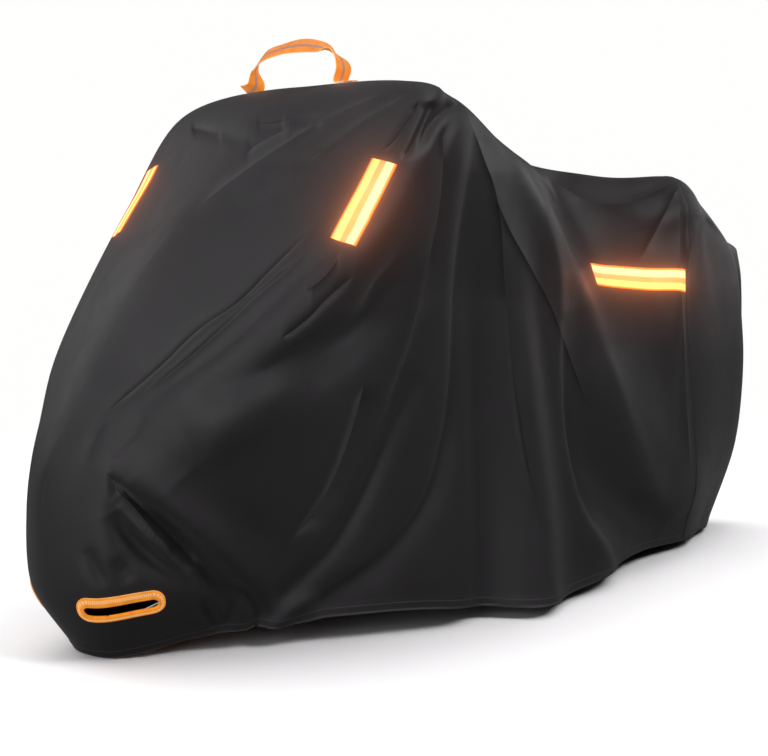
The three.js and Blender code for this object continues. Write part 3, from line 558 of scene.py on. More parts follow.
def two_faced_sheet(name, points, normals, thickness, keep, maps, closed_first, closed_last, material):
    """Closed sheet: its outer face on the grid, its inner face on every second line, walls between.

    The inner face lies under the outer one by the thickness, and deeper in a sharp crease, so
    that it clears the lines in between. keep says which cells of the inner grid have cloth.
    """
    rows, columns = points.shape[:2]
    numbers = np.arange(rows * columns).reshape(rows, columns)
    middle = columns // 2
    if closed_first:
        numbers[0, middle + 1:] = numbers[0, :middle][::-1]
    if closed_last:
        numbers[-1, middle + 1:] = numbers[-1, :middle][::-1]
    pad = np.pad(points, ((2, 2), (2, 2), (0, 0)), mode="edge")
    sunk = np.zeros((rows, columns))
    for di in range(5):
        for dj in range(5):
            other = pad[di:di + rows, dj:dj + columns]
            sunk = np.maximum(sunk, ((points - other) * normals).sum(2))
    inner = (points - normals * (thickness + 0.6 * np.minimum(sunk, 6))[..., None])[::2, ::2]
    inner_numbers = numbers[::2, ::2] + rows * columns
    vertices = np.concatenate([points.reshape(-1, 3), np.zeros((rows * columns, 3))])
    vertices[inner_numbers.ravel()] = inner.reshape(-1, 3)
    kept = keep.repeat(2, axis=0).repeat(2, axis=1)
    outer_faces = quads_of(numbers)[kept]
    inner_faces = quads_of(inner_numbers)[keep][:, ::-1]
    cells = np.pad(keep, 1)
    corner = numbers[::2, ::2]
    half_down = numbers[::2, 1::2]
    half_along = numbers[1::2, ::2]
    walls = []
    # An edge of a cell with no cloth beyond it: outer start, outer half way, outer end
    near_edge = keep & ~cells[1:-1, :-2]
    far_edge = keep & ~cells[1:-1, 2:]
    front_edge = keep & ~cells[:-2, 1:-1]
    back_edge = keep & ~cells[2:, 1:-1]
    if closed_first:
        front_edge[0] = False
    if closed_last:
        back_edge[-1] = False
    walls.append((corner[1:, :-1][near_edge], half_along[:, :-1][near_edge], corner[:-1, :-1][near_edge]))
    walls.append((corner[:-1, 1:][far_edge], half_along[:, 1:][far_edge], corner[1:, 1:][far_edge]))
    walls.append((corner[:-1, :-1][front_edge], half_down[:-1][front_edge], corner[:-1, 1:][front_edge]))
    walls.append((corner[1:, 1:][back_edge], half_down[1:][back_edge], corner[1:, :-1][back_edge]))
    start, half, end = (np.concatenate(parts) for parts in zip(*walls))
    count = rows * columns
    triangles = np.concatenate([
        np.stack([half, start, start + count], axis=1),
        np.stack([half, start + count, end + count], axis=1),
        np.stack([end, half, end + count], axis=1),
    ])
    used = np.unique(np.concatenate([outer_faces.ravel(), inner_faces.ravel(), triangles.ravel()]))
    renumber = np.zeros(2 * count, int)
    renumber[used] = np.arange(len(used))
    faces = renumber[outer_faces].tolist() + renumber[inner_faces].tolist() + renumber[triangles].tolist()
    doubled = [(map_name, np.concatenate([values.reshape(-1, 2)] * 2)[used]) for map_name, values in maps]
    return new_piece(name, in_frame(vertices[used]), faces, material, "coated_cloth", doubled)


def shader_of(name):
    """New node material, its node tree and its Principled shader."""
    material = bpy.data.materials.new(name)
    material.use_nodes = True
    tree = material.node_tree
    return material, tree, tree.nodes["Principled BSDF"]


def node(tree, kind, inputs=None, **settings):
    """New node with its settings, and its inputs set to values or linked to other sockets."""
    made = tree.nodes.new(kind)
    for name, value in settings.items():
        setattr(made, name, value)
    for key, value in (inputs or {}).items():
        if isinstance(value, bpy.types.NodeSocket):
            tree.links.new(value, made.inputs[key])
        else:
            made.inputs[key].default_value = value
    return made


def sum_of(tree, operation, first, second=0.0, third=0.0):
    """Output of one Math node."""
    return node(tree, "ShaderNodeMath", {0: first, 1: second, 2: third}, operation=operation).outputs[0]


def map_sides(tree, name):
    """Both sides of a UV map, which is in metres."""
    uv = node(tree, "ShaderNodeUVMap", uv_map=name).outputs[0]
    parts = node(tree, "ShaderNodeSeparateXYZ", {0: uv})
    return parts.outputs[0], parts.outputs[1]


def line_mask(tree, value, middle, width):
    """1 on a line at a value, 0 away from it, with soft edges."""
    off = sum_of(tree, "ABSOLUTE", sum_of(tree, "SUBTRACT", value, middle))
    made = node(tree, "ShaderNodeMapRange", {"Value": off, "From Min": width * 0.35, "From Max": width * 0.65,
                                              "To Min": 1.0, "To Max": 0.0})
    return made.outputs[0]


def dashes(tree, along, pitch):
    """1 on each stitch of a row and 0 between two, by the share of the pitch."""
    share = sum_of(tree, "FRACT", sum_of(tree, "DIVIDE", along, pitch))
    return line_mask(tree, share, 0.5, 0.72)


def stitch_row(tree, along, off, middle, pitch, width):
    """Mask of a row of stitches at a distance from an edge."""
    return sum_of(tree, "MULTIPLY", dashes(tree, along, pitch), line_mask(tree, off, middle, width))


def mix_colour(tree, share, first, second):
    """Colour between two by a share."""
    mixed = node(tree, "ShaderNodeMix", {0: share, 6: first, 7: second}, data_type="RGBA")
    return mixed.outputs[2]


def bump(tree, height, distance, strength=1.0, normal=None):
    """Normal bent by a height, after an earlier bump if one is given."""
    inputs = {"Height": height, "Distance": distance, "Strength": strength}
    if normal is not None:
        inputs["Normal"] = normal
    return node(tree, "ShaderNodeBump", inputs).outputs[0]


def weave_height(tree, along, across, pitch):
    """Plain weave: threads that pass over and under each other, as one sine times the other."""
    turns = 2 * math.pi / pitch
    first = sum_of(tree, "SINE", sum_of(tree, "MULTIPLY", along, turns))
    second = sum_of(tree, "SINE", sum_of(tree, "MULTIPLY", across, turns))
    return sum_of(tree, "MULTIPLY", first, second)


def near_board(tree):
    """Place on the near board of the cloth under the shader, and a mask of the cloth that faces it."""
    eye = np.array(BOARDS["near"], float)
    far = float(np.hypot(eye[0], eye[1]))
    depth = unit(np.array([-eye[0], -eye[1], 0.0]))
    across = np.array([depth[1], -depth[0], 0.0])
    place = node(tree, "ShaderNodeTexCoord").outputs["Object"]
    away = node(tree, "ShaderNodeVectorMath", {0: place, 1: in_frame(eye).tolist()},
                operation="SUBTRACT").outputs[0]
    reach = node(tree, "ShaderNodeVectorMath", {0: away, 1: depth.tolist()},
                 operation="DOT_PRODUCT").outputs["Value"]
    sideways = node(tree, "ShaderNodeVectorMath", {0: away, 1: across.tolist()},
                    operation="DOT_PRODUCT").outputs["Value"]
    rise = node(tree, "ShaderNodeSeparateXYZ", {0: away}).outputs[2]
    scale = sum_of(tree, "DIVIDE", far, reach)
    on_board = (sum_of(tree, "MULTIPLY", sideways, scale),
                sum_of(tree, "MULTIPLY_ADD", rise, scale, float(eye[2])))
    normal = node(tree, "ShaderNodeNewGeometry").outputs["True Normal"]
    facing = node(tree, "ShaderNodeVectorMath", {0: away, 1: normal},
                  operation="DOT_PRODUCT").outputs["Value"]
    mask = node(tree, "ShaderNodeMapRange", {"Value": facing, "From Min": -0.1, "From Max": -0.5}).outputs[0]
    return on_board, mask


def sharp_crease(tree, on_board, crease):
    """Height times exp(-distance / reach), with a reach of its own on either side of a path.

    The path is a curve through its places, and the height eases to nothing at both ends.
    """
    height, reach, path = crease[2:]
    steps, other = (0, 1) if crease[1] == "across" else (1, 0)
    places = np.array(sorted(path, key=lambda place: place[steps]), float)
    low, high = places.min(0) - 1, places.max(0) + 1
    share = node(tree, "ShaderNodeMapRange", {"Value": on_board[steps], "From Min": low[steps],
                                              "From Max": high[steps]}, clamp=True).outputs[0]
    curve = node(tree, "ShaderNodeFloatCurve", {"Value": share})
    line = curve.mapping.curves[0]
    knots = (places - low) / (high - low)
    knots = knots[:, [steps, other]]
    line.points[0].location = knots[0]
    line.points[1].location = knots[-1]
    for knot in knots[1:-1]:
        line.points.new(*knot)
    curve.mapping.update()
    middle = sum_of(tree, "MULTIPLY_ADD", curve.outputs[0], high[other] - low[other], low[other])
    slope = np.hypot(1, (places[-1, other] - places[0, other]) / (places[-1, steps] - places[0, steps]))
    off = sum_of(tree, "SUBTRACT", on_board[other], middle)
    before = sum_of(tree, "MULTIPLY", off, -1 / (reach[0] * slope))
    after = sum_of(tree, "MULTIPLY", off, 1 / (reach[1] * slope))
    away = sum_of(tree, "MAXIMUM", before, after)
    falling = sum_of(tree, "EXPONENT", sum_of(tree, "MULTIPLY", away, -1.0))
    ends = sum_of(tree, "PINGPONG", share, 0.5)
    fade = node(tree, "ShaderNodeMapRange", {"Value": ends, "From Max": 0.18, "To Max": height * 0.001},
                interpolation_type="SMOOTHSTEP").outputs[0]
    return sum_of(tree, "MULTIPLY", falling, fade)


def cloth_material(colours, sizes):
    """Coated polyester: charcoal with a soft sheen, a fine weave, handling marks and sewn rows."""
    material, tree, shader = shader_of("dressed_cloth")
    place = node(tree, "ShaderNodeTexCoord").outputs["Object"]
    broad = node(tree, "ShaderNodeTexNoise", {"Vector": place, "Scale": 3.0, "Detail": 3.0}).outputs[0]
    fine = node(tree, "ShaderNodeTexNoise", {"Vector": place, "Scale": 900.0, "Detail": 2.0}).outputs[0]
    creased = node(tree, "ShaderNodeTexNoise", {"Vector": place, "Scale": 9.0, "Detail": 4.0,
                                                "Roughness": 0.45, "Distortion": 0.6}).outputs[0]
    hem_along, hem_off = map_sides(tree, "hem")
    seam_off, seam_along = map_sides(tree, "seam")
    dark = [c * 0.82 for c in colours.cloth] + [1.0]
    light = [min(c * 1.18, 1.0) for c in colours.cloth] + [1.0]
    shade = node(tree, "ShaderNodeMapRange", {"Value": broad, "From Min": 0.3, "From Max": 0.7}).outputs[0]
    body = mix_colour(tree, shade, dark, light)
    hem_row = stitch_row(tree, hem_along, hem_off, sizes.hem_depth - 0.004, sizes.stitch, 0.0016)
    seam_row = stitch_row(tree, seam_along, seam_off, 0.003, sizes.stitch, 0.0016)
    second_row = stitch_row(tree, seam_along, seam_off, 0.010, sizes.stitch, 0.0016)
    thread = sum_of(tree, "MAXIMUM", hem_row, sum_of(tree, "MAXIMUM", seam_row, second_row))
    sewn = mix_colour(tree, thread, body, list(colours.thread) + [1.0])
    tree.links.new(sewn, shader.inputs["Base Color"])
    rough = node(tree, "ShaderNodeMapRange", {"Value": creased, "From Min": 0.3, "From Max": 0.7,
                                              "To Min": 0.46, "To Max": 0.58}).outputs[0]
    tree.links.new(rough, shader.inputs["Roughness"])
    shader.inputs["Specular IOR Level"].default_value = 0.5
    shader.inputs["Sheen Weight"].default_value = 0.12
    shader.inputs["Sheen Roughness"].default_value = 0.45
    weave = weave_height(tree, hem_along, hem_off, sizes.weave)
    on_board, facing = near_board(tree)
    creases = 0.0
    for crease in SHARP_CREASES:
        creases = sum_of(tree, "ADD", sharp_crease(tree, on_board, crease), creases)
    normal = bump(tree, sum_of(tree, "MULTIPLY", creases, facing), CREASE_DEPTH)
    normal = bump(tree, creased, 0.004, 0.35, normal)
    normal = bump(tree, weave, 0.00015, 0.5, normal)
    normal = bump(tree, fine, 0.0001, 0.5, normal)
    normal = bump(tree, thread, 0.0005, 0.8, normal)
    tree.links.new(normal, shader.inputs["Normal"])
    return material


def tape_material(colours, sizes):
    """Reflective tape: two bright bands beside a dull one, glass beads, a sewn pale edge, and a painted glow
    given off as emission.
    """
    material, tree, shader = shader_of("dressed_tape")
    along, across = map_sides(tree, "tape")
    place = node(tree, "ShaderNodeTexCoord").outputs["Object"]
    share = sum_of(tree, "DIVIDE", across, 0.058)
    ramp = node(tree, "ShaderNodeValToRGB", {0: share})
    bands = ramp.color_ramp
    border = list(colours.tape_edge) + [1.0]
    bright = list(colours.highlit_tape_band) + [1.0]
    warm = list(colours.tape_warm) + [1.0]
    dull = list(colours.tape_dull) + [1.0]
    # The band from 0.64 to 0.88 is the tape's yellow made paler by a painted highlight
    stops = [(0.0, border), (0.04, border), (0.09, warm), (0.31, warm), (0.37, dull), (0.57, dull),
             (0.64, bright), (0.88, bright), (0.95, border), (1.0, border)]
    bands.elements[0].position = stops[0][0]
    bands.elements[0].color = stops[0][1]
    bands.elements[1].position = stops[-1][0]
    bands.elements[1].color = stops[-1][1]
    for position, colour in stops[1:-1]:
        bands.elements.new(position).color = colour
    beads = node(tree, "ShaderNodeTexVoronoi", {"Vector": place, "Scale": 700.0}).outputs[0]
    # Random patches in the strength of the tape's painted glow
    patchy = node(tree, "ShaderNodeTexNoise", {"Vector": place, "Scale": 14.0, "Detail": 2.0}).outputs[0]
    glow = node(tree, "ShaderNodeMapRange", {"Value": patchy, "From Min": 0.3, "From Max": 0.7,
                                             "To Min": 0.88, "To Max": 1.1}).outputs[0]
    stitches = stitch_row(tree, along, across, 0.0022, sizes.stitch, 0.001)
    other = stitch_row(tree, along, across, 0.0558, sizes.stitch, 0.001)
    thread = sum_of(tree, "MAXIMUM", stitches, other)
    colour = mix_colour(tree, thread, ramp.outputs[0], list(colours.tape_thread) + [1.0])
    # The tape's own colour is kept dim: its brightness comes from the painted glow below
    base = node(tree, "ShaderNodeVectorMath", {0: colour, "Scale": 0.2}, operation="SCALE").outputs[0]
    tree.links.new(base, shader.inputs["Base Color"])
    # Painted glow: the tape's colours, tinted, are given off as emission in place of its reflection
    heat = list(sizes.painted_glow_tint)
    hot = node(tree, "ShaderNodeVectorMath", {0: colour, 1: heat}, operation="MULTIPLY").outputs[0]
    lit = node(tree, "ShaderNodeVectorMath", {0: hot, "Scale": glow}, operation="SCALE").outputs[0]
    tree.links.new(lit, shader.inputs["Emission Color"])
    shader.inputs["Emission Strength"].default_value = sizes.glow_painted_on_tape
    shader.inputs["Roughness"].default_value = 0.38
    normal = bump(tree, beads, 0.0002, 0.35)
    normal = bump(tree, thread, 0.0004, 0.8, normal)
    tree.links.new(normal, shader.inputs["Normal"])
    return material


def binding_material(colours, sizes):
    """Orange binding tape: cross ribs, pale edges that are a painted highlight, a row of stitches round the
    slot, and a painted glow.
    """
    material, tree, shader = shader_of("dressed_binding")
    along, across = map_sides(tree, "strap")
    place = node(tree, "ShaderNodeTexCoord").outputs["Object"]
    ribs = sum_of(tree, "SINE", sum_of(tree, "MULTIPLY", along, 2 * math.pi / 0.0016))
    worn = node(tree, "ShaderNodeTexNoise", {"Vector": place, "Scale": 60.0, "Detail": 3.0}).outputs[0]
    deep = [c * 0.72 for c in colours.binding] + [1.0]
    shade = node(tree, "ShaderNodeMapRange", {"Value": worn, "From Min": 0.3, "From Max": 0.7}).outputs[0]
    body = mix_colour(tree, shade, deep, list(colours.binding) + [1.0])
    # Painted highlight: a paler colour along the binding's outer edge
    edge = line_mask(tree, across, 0.0, 0.10)
    pale = mix_colour(tree, edge, body, list(colours.edge_tone_and_highlight) + [1.0])
    thread = stitch_row(tree, along, across, 0.16, sizes.stitch, 0.06)
    sewn = mix_colour(tree, thread, pale, list(colours.tape_thread) + [1.0])
    tree.links.new(sewn, shader.inputs["Base Color"])
    # Painted glow: the binding gives off its own colours as emission
    tree.links.new(sewn, shader.inputs["Emission Color"])
    shader.inputs["Emission Strength"].default_value = PAINTED_ORANGE_GLOW
    shader.inputs["Roughness"].default_value = 0.6
    shader.inputs["Sheen Weight"].default_value = 0.2
    normal = bump(tree, ribs, 0.0003, 0.5)
    normal = bump(tree, thread, 0.0004, 0.8, normal)
    tree.links.new(normal, shader.inputs["Normal"])
    return material


def webbing_material(colours, sizes):
    """Orange webbing: ribs that lean both ways, a dull line along the middle, pale edges and a painted glow.
    """
    material, tree, shader = shader_of("dressed_webbing")
    along, across = map_sides(tree, "strap")
    off = sum_of(tree, "ABSOLUTE", sum_of(tree, "SUBTRACT", across, 0.5))
    slanted = sum_of(tree, "ADD", along, sum_of(tree, "MULTIPLY", off, 0.02))
    ribs = sum_of(tree, "SINE", sum_of(tree, "MULTIPLY", slanted, 2 * math.pi / 0.0022))
    place = node(tree, "ShaderNodeTexCoord").outputs["Object"]
    worn = node(tree, "ShaderNodeTexNoise", {"Vector": place, "Scale": 45.0, "Detail": 3.0}).outputs[0]
    deep = [c * 0.74 for c in colours.webbing] + [1.0]
    shade = node(tree, "ShaderNodeMapRange", {"Value": worn, "From Min": 0.3, "From Max": 0.7}).outputs[0]
    body = mix_colour(tree, shade, deep, list(colours.webbing) + [1.0])
    middle = line_mask(tree, off, 0.0, 0.17)
    lined = mix_colour(tree, middle, body, list(colours.webbing_line) + [1.0])
    edge = line_mask(tree, off, 0.5, 0.06)
    pale = mix_colour(tree, edge, lined, list(colours.edge_tone_and_highlight) + [1.0])
    tree.links.new(pale, shader.inputs["Base Color"])
    # Painted glow: the webbing gives off its own colours as emission
    tree.links.new(pale, shader.inputs["Emission Color"])
    shader.inputs["Emission Strength"].default_value = PAINTED_ORANGE_GLOW
    shader.inputs["Roughness"].default_value = 0.62
    shader.inputs["Sheen Weight"].default_value = 0.25
    normal = bump(tree, ribs, 0.0004, 0.6)
    tree.links.new(normal, shader.inputs["Normal"])
    return material


def floor_material(colours):
    """Pale studio floor that throws little light back on the cloth and thins out to the white around."""
    material, tree, shader = shader_of("studio_floor")
    shader.inputs["Base Color"].default_value = list(colours.floor) + [1.0]
    shader.inputs["Roughness"].default_value = 0.5
    shader.inputs["Specular IOR Level"].default_value = 0.0
    dim = node(tree, "ShaderNodeBsdfDiffuse", {"Color": (0.1, 0.1, 0.1, 1.0)})
    path = node(tree, "ShaderNodeLightPath")
    seen = node(tree, "ShaderNodeMixShader", {0: path.outputs["Is Camera Ray"], 1: dim.outputs[0],
                                              2: shader.outputs[0]})
    place = node(tree, "ShaderNodeTexCoord").outputs["Object"]
    flat = node(tree, "ShaderNodeVectorMath", {0: place, 1: (0.75, 1.0, 0.0)},
                operation="MULTIPLY").outputs[0]
    away = node(tree, "ShaderNodeVectorMath", {0: flat}, operation="LENGTH").outputs["Value"]
    thin = node(tree, "ShaderNodeMapRange", {"Value": away, "From Min": 1.5, "From Max": 3.2},
                interpolation_type="SMOOTHSTEP").outputs[0]
    clear = node(tree, "ShaderNodeBsdfTransparent")
    floor = node(tree, "ShaderNodeMixShader", {0: thin, 1: seen.outputs[0], 2: clear.outputs[0]})
    tree.links.new(floor.outputs[0], tree.nodes["Material Output"].inputs["Surface"])
    return material


def material_named(name, make, *given):
    """Material that is made once and then shared."""
    return bpy.data.materials.get(name) or make(*given)


def sheet_grid(rows, columns, start, end):
    """Grid of (u, v, side) from the near hem over the crest to the far hem, for each row."""
    u = sheet_rows(rows, start, end)
    near = sheet_columns(u, columns, -1)
    far = sheet_columns(u, columns, 1)
    v = np.concatenate([near[:, ::-1], far[:, 1:]], axis=1)
    side = np.concatenate([np.full(near.shape, -1), np.full((len(u), columns - 1), 1)], axis=1)
    return np.repeat(u[:, None], v.shape[1], axis=1), v, side


def sheet_points(grid, closed_first, closed_last):
    """Cloth places of a grid. Rows on the middle line take the near side's places on both sides."""
    u, v, side = grid
    points = cloth(u.ravel(), v.ravel(), side.ravel()).reshape(u.shape + (3,))
    middle = u.shape[1] // 2
    if closed_first:
        points[0, middle + 1:] = points[0, :middle][::-1]
    if closed_last:
        points[-1, middle + 1:] = points[-1, :middle][::-1]
    return points


def sheet_maps(points, seam_last):
    """UV maps in metres: along and above the hem on each side, and off and along the seam."""
    middle = points.shape[1] // 2
    across = arc_lengths(points, 1)
    near_side = across[:, middle:middle + 1]
    far_side = across[:, -1:] - near_side
    fallen = (across[:, -1:] - across) * near_side / far_side
    above = np.where(np.arange(points.shape[1]) <= middle, across, fallen)
    near = arc_lengths(points[:, :1], 0)
    far = arc_lengths(points[:, -1:], 0)
    along = np.where(np.arange(points.shape[1]) <= middle, near, far)
    lengths = arc_lengths(points, 0)
    off = lengths[-1:] - lengths if seam_last else lengths
    hem = np.stack([along, above], axis=2) * 0.001
    seam = np.stack([off, across], axis=2) * 0.001
    return [("hem", hem), ("seam", seam)]


def hem_swell(points, normals, hem_depth):
    """Turned hem: the cloth stands one more layer proud over the hem's depth."""
    middle = points.shape[1] // 2
    across = arc_lengths(points, 1)
    above = np.where(np.arange(points.shape[1]) <= middle, across, across[:, -1:] - across)
    swell = 1.6 * (1 - smooth_step(above, hem_depth - 6, hem_depth + 1))
    return points + normals * swell[..., None]


def plane_axes(middle, runs, faces):
    """Axes of a flat piece: along its run, across it, and out of its face."""
    z = unit(faces)
    x = unit(np.array(runs, float) - z * np.dot(runs, z))
    return x, np.cross(z, x)


def slot_reach(a, b):
    """Distance outside a slot with round ends, for places along and across its middle line."""
    half = SLOT_LENGTH / 2 - SLOT_HEIGHT / 2
    return np.hypot(np.maximum(np.abs(a) - half, 0), b) - SLOT_HEIGHT / 2


def slot_cells(points):
    """Cells of the inner grid that keep their cloth: those not over one of the two lock slots."""
    middles = (points[:-2:2, :-2:2] + points[2::2, :-2:2] + points[:-2:2, 2::2] + points[2::2, 2::2]) / 4
    keep = np.ones(middles.shape[:2], bool)
    for way in (1, -1):
        mirror = np.array([1, way, 1])
        x, y = plane_axes(SLOT_MIDDLE, np.array(SLOT_RUNS) * mirror, np.array(SLOT_FACES) * mirror)
        off = middles - np.array(SLOT_MIDDLE) * mirror
        near = np.linalg.norm(off, axis=2) < 140
        keep &= ~(near & (slot_reach(off @ x, off @ y) < 2.5))
    return keep


def make_body(sizes, colours):
    """Body cloth: the folded surface from the nose to the seam, with its hem and lock slots."""
    grid = sheet_grid(sizes.rows, sizes.columns, 0, SEAM)
    points = sheet_points(grid, True, False)
    normals = grid_normals(points, True, False)
    maps = sheet_maps(points, True)
    points = hem_swell(points, normals, sizes.hem_depth * 1000)
    off = maps[1][1][..., 0] * 1000
    points = points + normals * (1.2 * (1 - smooth_step(off, 9, 15)))[..., None]
    keep = slot_cells(points)
    material = material_named("dressed_cloth", cloth_material, colours, sizes)
    return two_faced_sheet("body_cloth", points, normals, sizes.cloth * 1000, keep, maps,
                           True, False, material)


def make_tail(sizes, colours):
    """Rear panel: the folded surface behind the seam, whose first rows slip under the body."""
    start = SEAM - (ALONG[-1] - SEAM) * 0.018
    grid = sheet_grid(sizes.tail_rows, sizes.columns, start, ALONG[-1])
    points = sheet_points(grid, False, True)
    normals = grid_normals(points, False, True)
    maps = sheet_maps(points, False)
    maps[1][1][..., 0] -= 0.009
    points = hem_swell(points, normals, sizes.hem_depth * 1000)
    under = 1 - smooth_step(grid[0], SEAM - 0.02, SEAM + (ALONG[-1] - SEAM) * 0.012)
    points = points - normals * (3.4 * under)[..., None]
    keep = np.ones(((points.shape[0] - 1) // 2, (points.shape[1] - 1) // 2), bool)
    material = material_named("dressed_cloth", cloth_material, colours, sizes)
    return two_faced_sheet("rear_panel", points, normals, sizes.cloth * 1000, keep, maps,
                           False, True, material)


def make_tape(name, sizes, colours):
    """Tape: a flat grid laid on the cloth along its face, lifted by the gap and its thickness."""
    length, width, middle, runs, faces = TAPES[name]
    x, y = plane_axes(middle, runs, faces)
    a, b = np.meshgrid(np.linspace(-0.5, 0.5, int(length / 4) + 1) * length,
                       np.linspace(-0.5, 0.5, 15) * width, indexing="ij")
    places = np.array(middle) + a.ravel()[:, None] * x + b.ravel()[:, None] * y
    side = -1.0 if middle[1] < 0 else 1.0
    u, v = lay_on_cloth(places, faces, side)
    sides = np.full(len(u), side)
    points = cloth(u, v, sides) + cloth_normal(u, v, sides) * (0.5 + sizes.tape * 1000)
    numbers = np.arange(a.size).reshape(a.shape)
    across = b if (y[2] > 0) == (name.startswith("rear")) else -b
    uv = np.stack([a + length / 2, across + width / 2], axis=2).reshape(-1, 2) * 0.001
    faces_out = quads_of(numbers).reshape(-1, 4)
    first = points[faces_out[0]]
    if np.dot(np.cross(first[1] - first[0], first[2] - first[0]), faces) < 0:
        faces_out = faces_out[:, ::-1]
    material = material_named("dressed_tape", tape_material, colours, sizes)
    piece = new_piece(f"sewn_{name}", in_frame(points), faces_out.tolist(), material, "reflective_tape",
                      [("tape", uv)])
    wall = piece.modifiers.new("thickness", "SOLIDIFY")
    wall.thickness = sizes.tape
    wall.offset = -1
    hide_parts(name)
    return piece


def make_binding(side_name, sizes, colours):
    """Binding: a folded profile carried round the slot, over the cloth's edge and down inside."""
    way = 1 if side_name == "near" else -1
    mirror = np.array([1, way, 1])
    side = -1.0 * way
    middle = np.array(SLOT_MIDDLE) * mirror
    x, y = plane_axes(middle, np.array(SLOT_RUNS) * mirror, np.array(SLOT_FACES) * mirror)
    if y[2] < 0:
        y = -y
    round_end = SLOT_HEIGHT / 2
    straight = SLOT_LENGTH - SLOT_HEIGHT
    around = np.linspace(0, 1, 120, endpoint=False) * (2 * straight + 2 * np.pi * round_end)
    turn = np.pi * round_end
    stretch = np.searchsorted(np.cumsum([straight, turn, straight]), around, side="right")
    start = np.array([0, straight, straight + turn, 2 * straight + turn])[stretch]
    t = around - start
    angle = np.choose(stretch, [0 * t, t / round_end, 0 * t + np.pi, np.pi + t / round_end])
    half_way = straight / 2
    centre = np.choose(stretch, [-half_way + t, half_way + 0 * t, half_way - t, -half_way + 0 * t])
    outward = np.stack([np.sin(angle), -np.cos(angle)], axis=1)
    edge = np.stack([centre, 0 * t], axis=1) + outward * round_end
    reach = np.where(outward[:, 1] > 0, BINDING_ABOVE, BINDING_BELOW) * np.abs(outward[:, 1]) ** 1.5
    reach = reach + BINDING_ENDS * (1 - np.abs(outward[:, 1]) ** 1.5)
    # Profile round the folded tape: share of the reach, and height out of the cloth
    profile = np.array([[1.0, 0.5], [1.0, 1.5], [0.96, 2.2], [0.7, 2.5], [0.4, 2.6], [0.15, 2.7],
                        [0.0, 2.2], [-0.06, 0.8], [-0.08, -1.0], [-0.06, -2.8], [0.0, -4.0],
                        [0.15, -4.6], [0.5, -4.5], [0.8, -4.3], [0.85, -3.4], [0.8, -2.6],
                        [0.4, -2.5], [0.2, -2.4], [0.17, -1.0], [0.2, 0.4], [0.5, 0.5], [0.8, 0.5]])
    share, height = profile[:, 0], profile[:, 1]
    flat = edge[:, None] + outward[:, None] * (reach[:, None] * share)[..., None]
    places = middle + flat[..., :1] * x + flat[..., 1:] * y
    u, v = lay_on_cloth(places.reshape(-1, 3), np.array(SLOT_FACES) * mirror, side)
    sides = np.full(len(u), side)
    heights = np.tile(height, len(around))[:, None]
    points = cloth(u, v, sides) + cloth_normal(u, v, sides) * heights
    numbers = np.arange(places.shape[0] * places.shape[1]).reshape(places.shape[:2])
    numbers = np.pad(numbers, ((0, 1), (0, 1)), mode="wrap")
    faces = quads_of(numbers).reshape(-1, 4)
    first = points[faces[2]]
    if np.dot(np.cross(first[1] - first[0], first[2] - first[0]), cloth_normal(u, v, sides)[faces[2][0]]) < 0:
        faces = faces[:, ::-1]
    across = np.linspace(0, 1, len(profile))
    uv = np.stack(np.broadcast_arrays(around[:, None] * 0.001, across), axis=2).reshape(-1, 2)
    material = material_named("dressed_binding", binding_material, colours, sizes)
    name = f"slot_binding_{side_name}"
    piece = new_piece(f"sewn_{name}", in_frame(points), faces.tolist(), material, "slot_binding",
                      [("strap", uv)])
    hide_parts(name)
    return piece


def cloth_height(along, across):
    """Height of the cloth's top at places given by along and across."""
    across = np.asarray(across, float)
    side = -1.0 if across.mean() < 0 else 1.0
    places = np.stack([np.full(len(across), along), across, np.full(len(across), CROWN[2])], axis=1)
    u, v = lay_on_cloth(places, [0, 0, 1], side)
    return cloth(u, v, np.full(len(u), side))[:, 2]


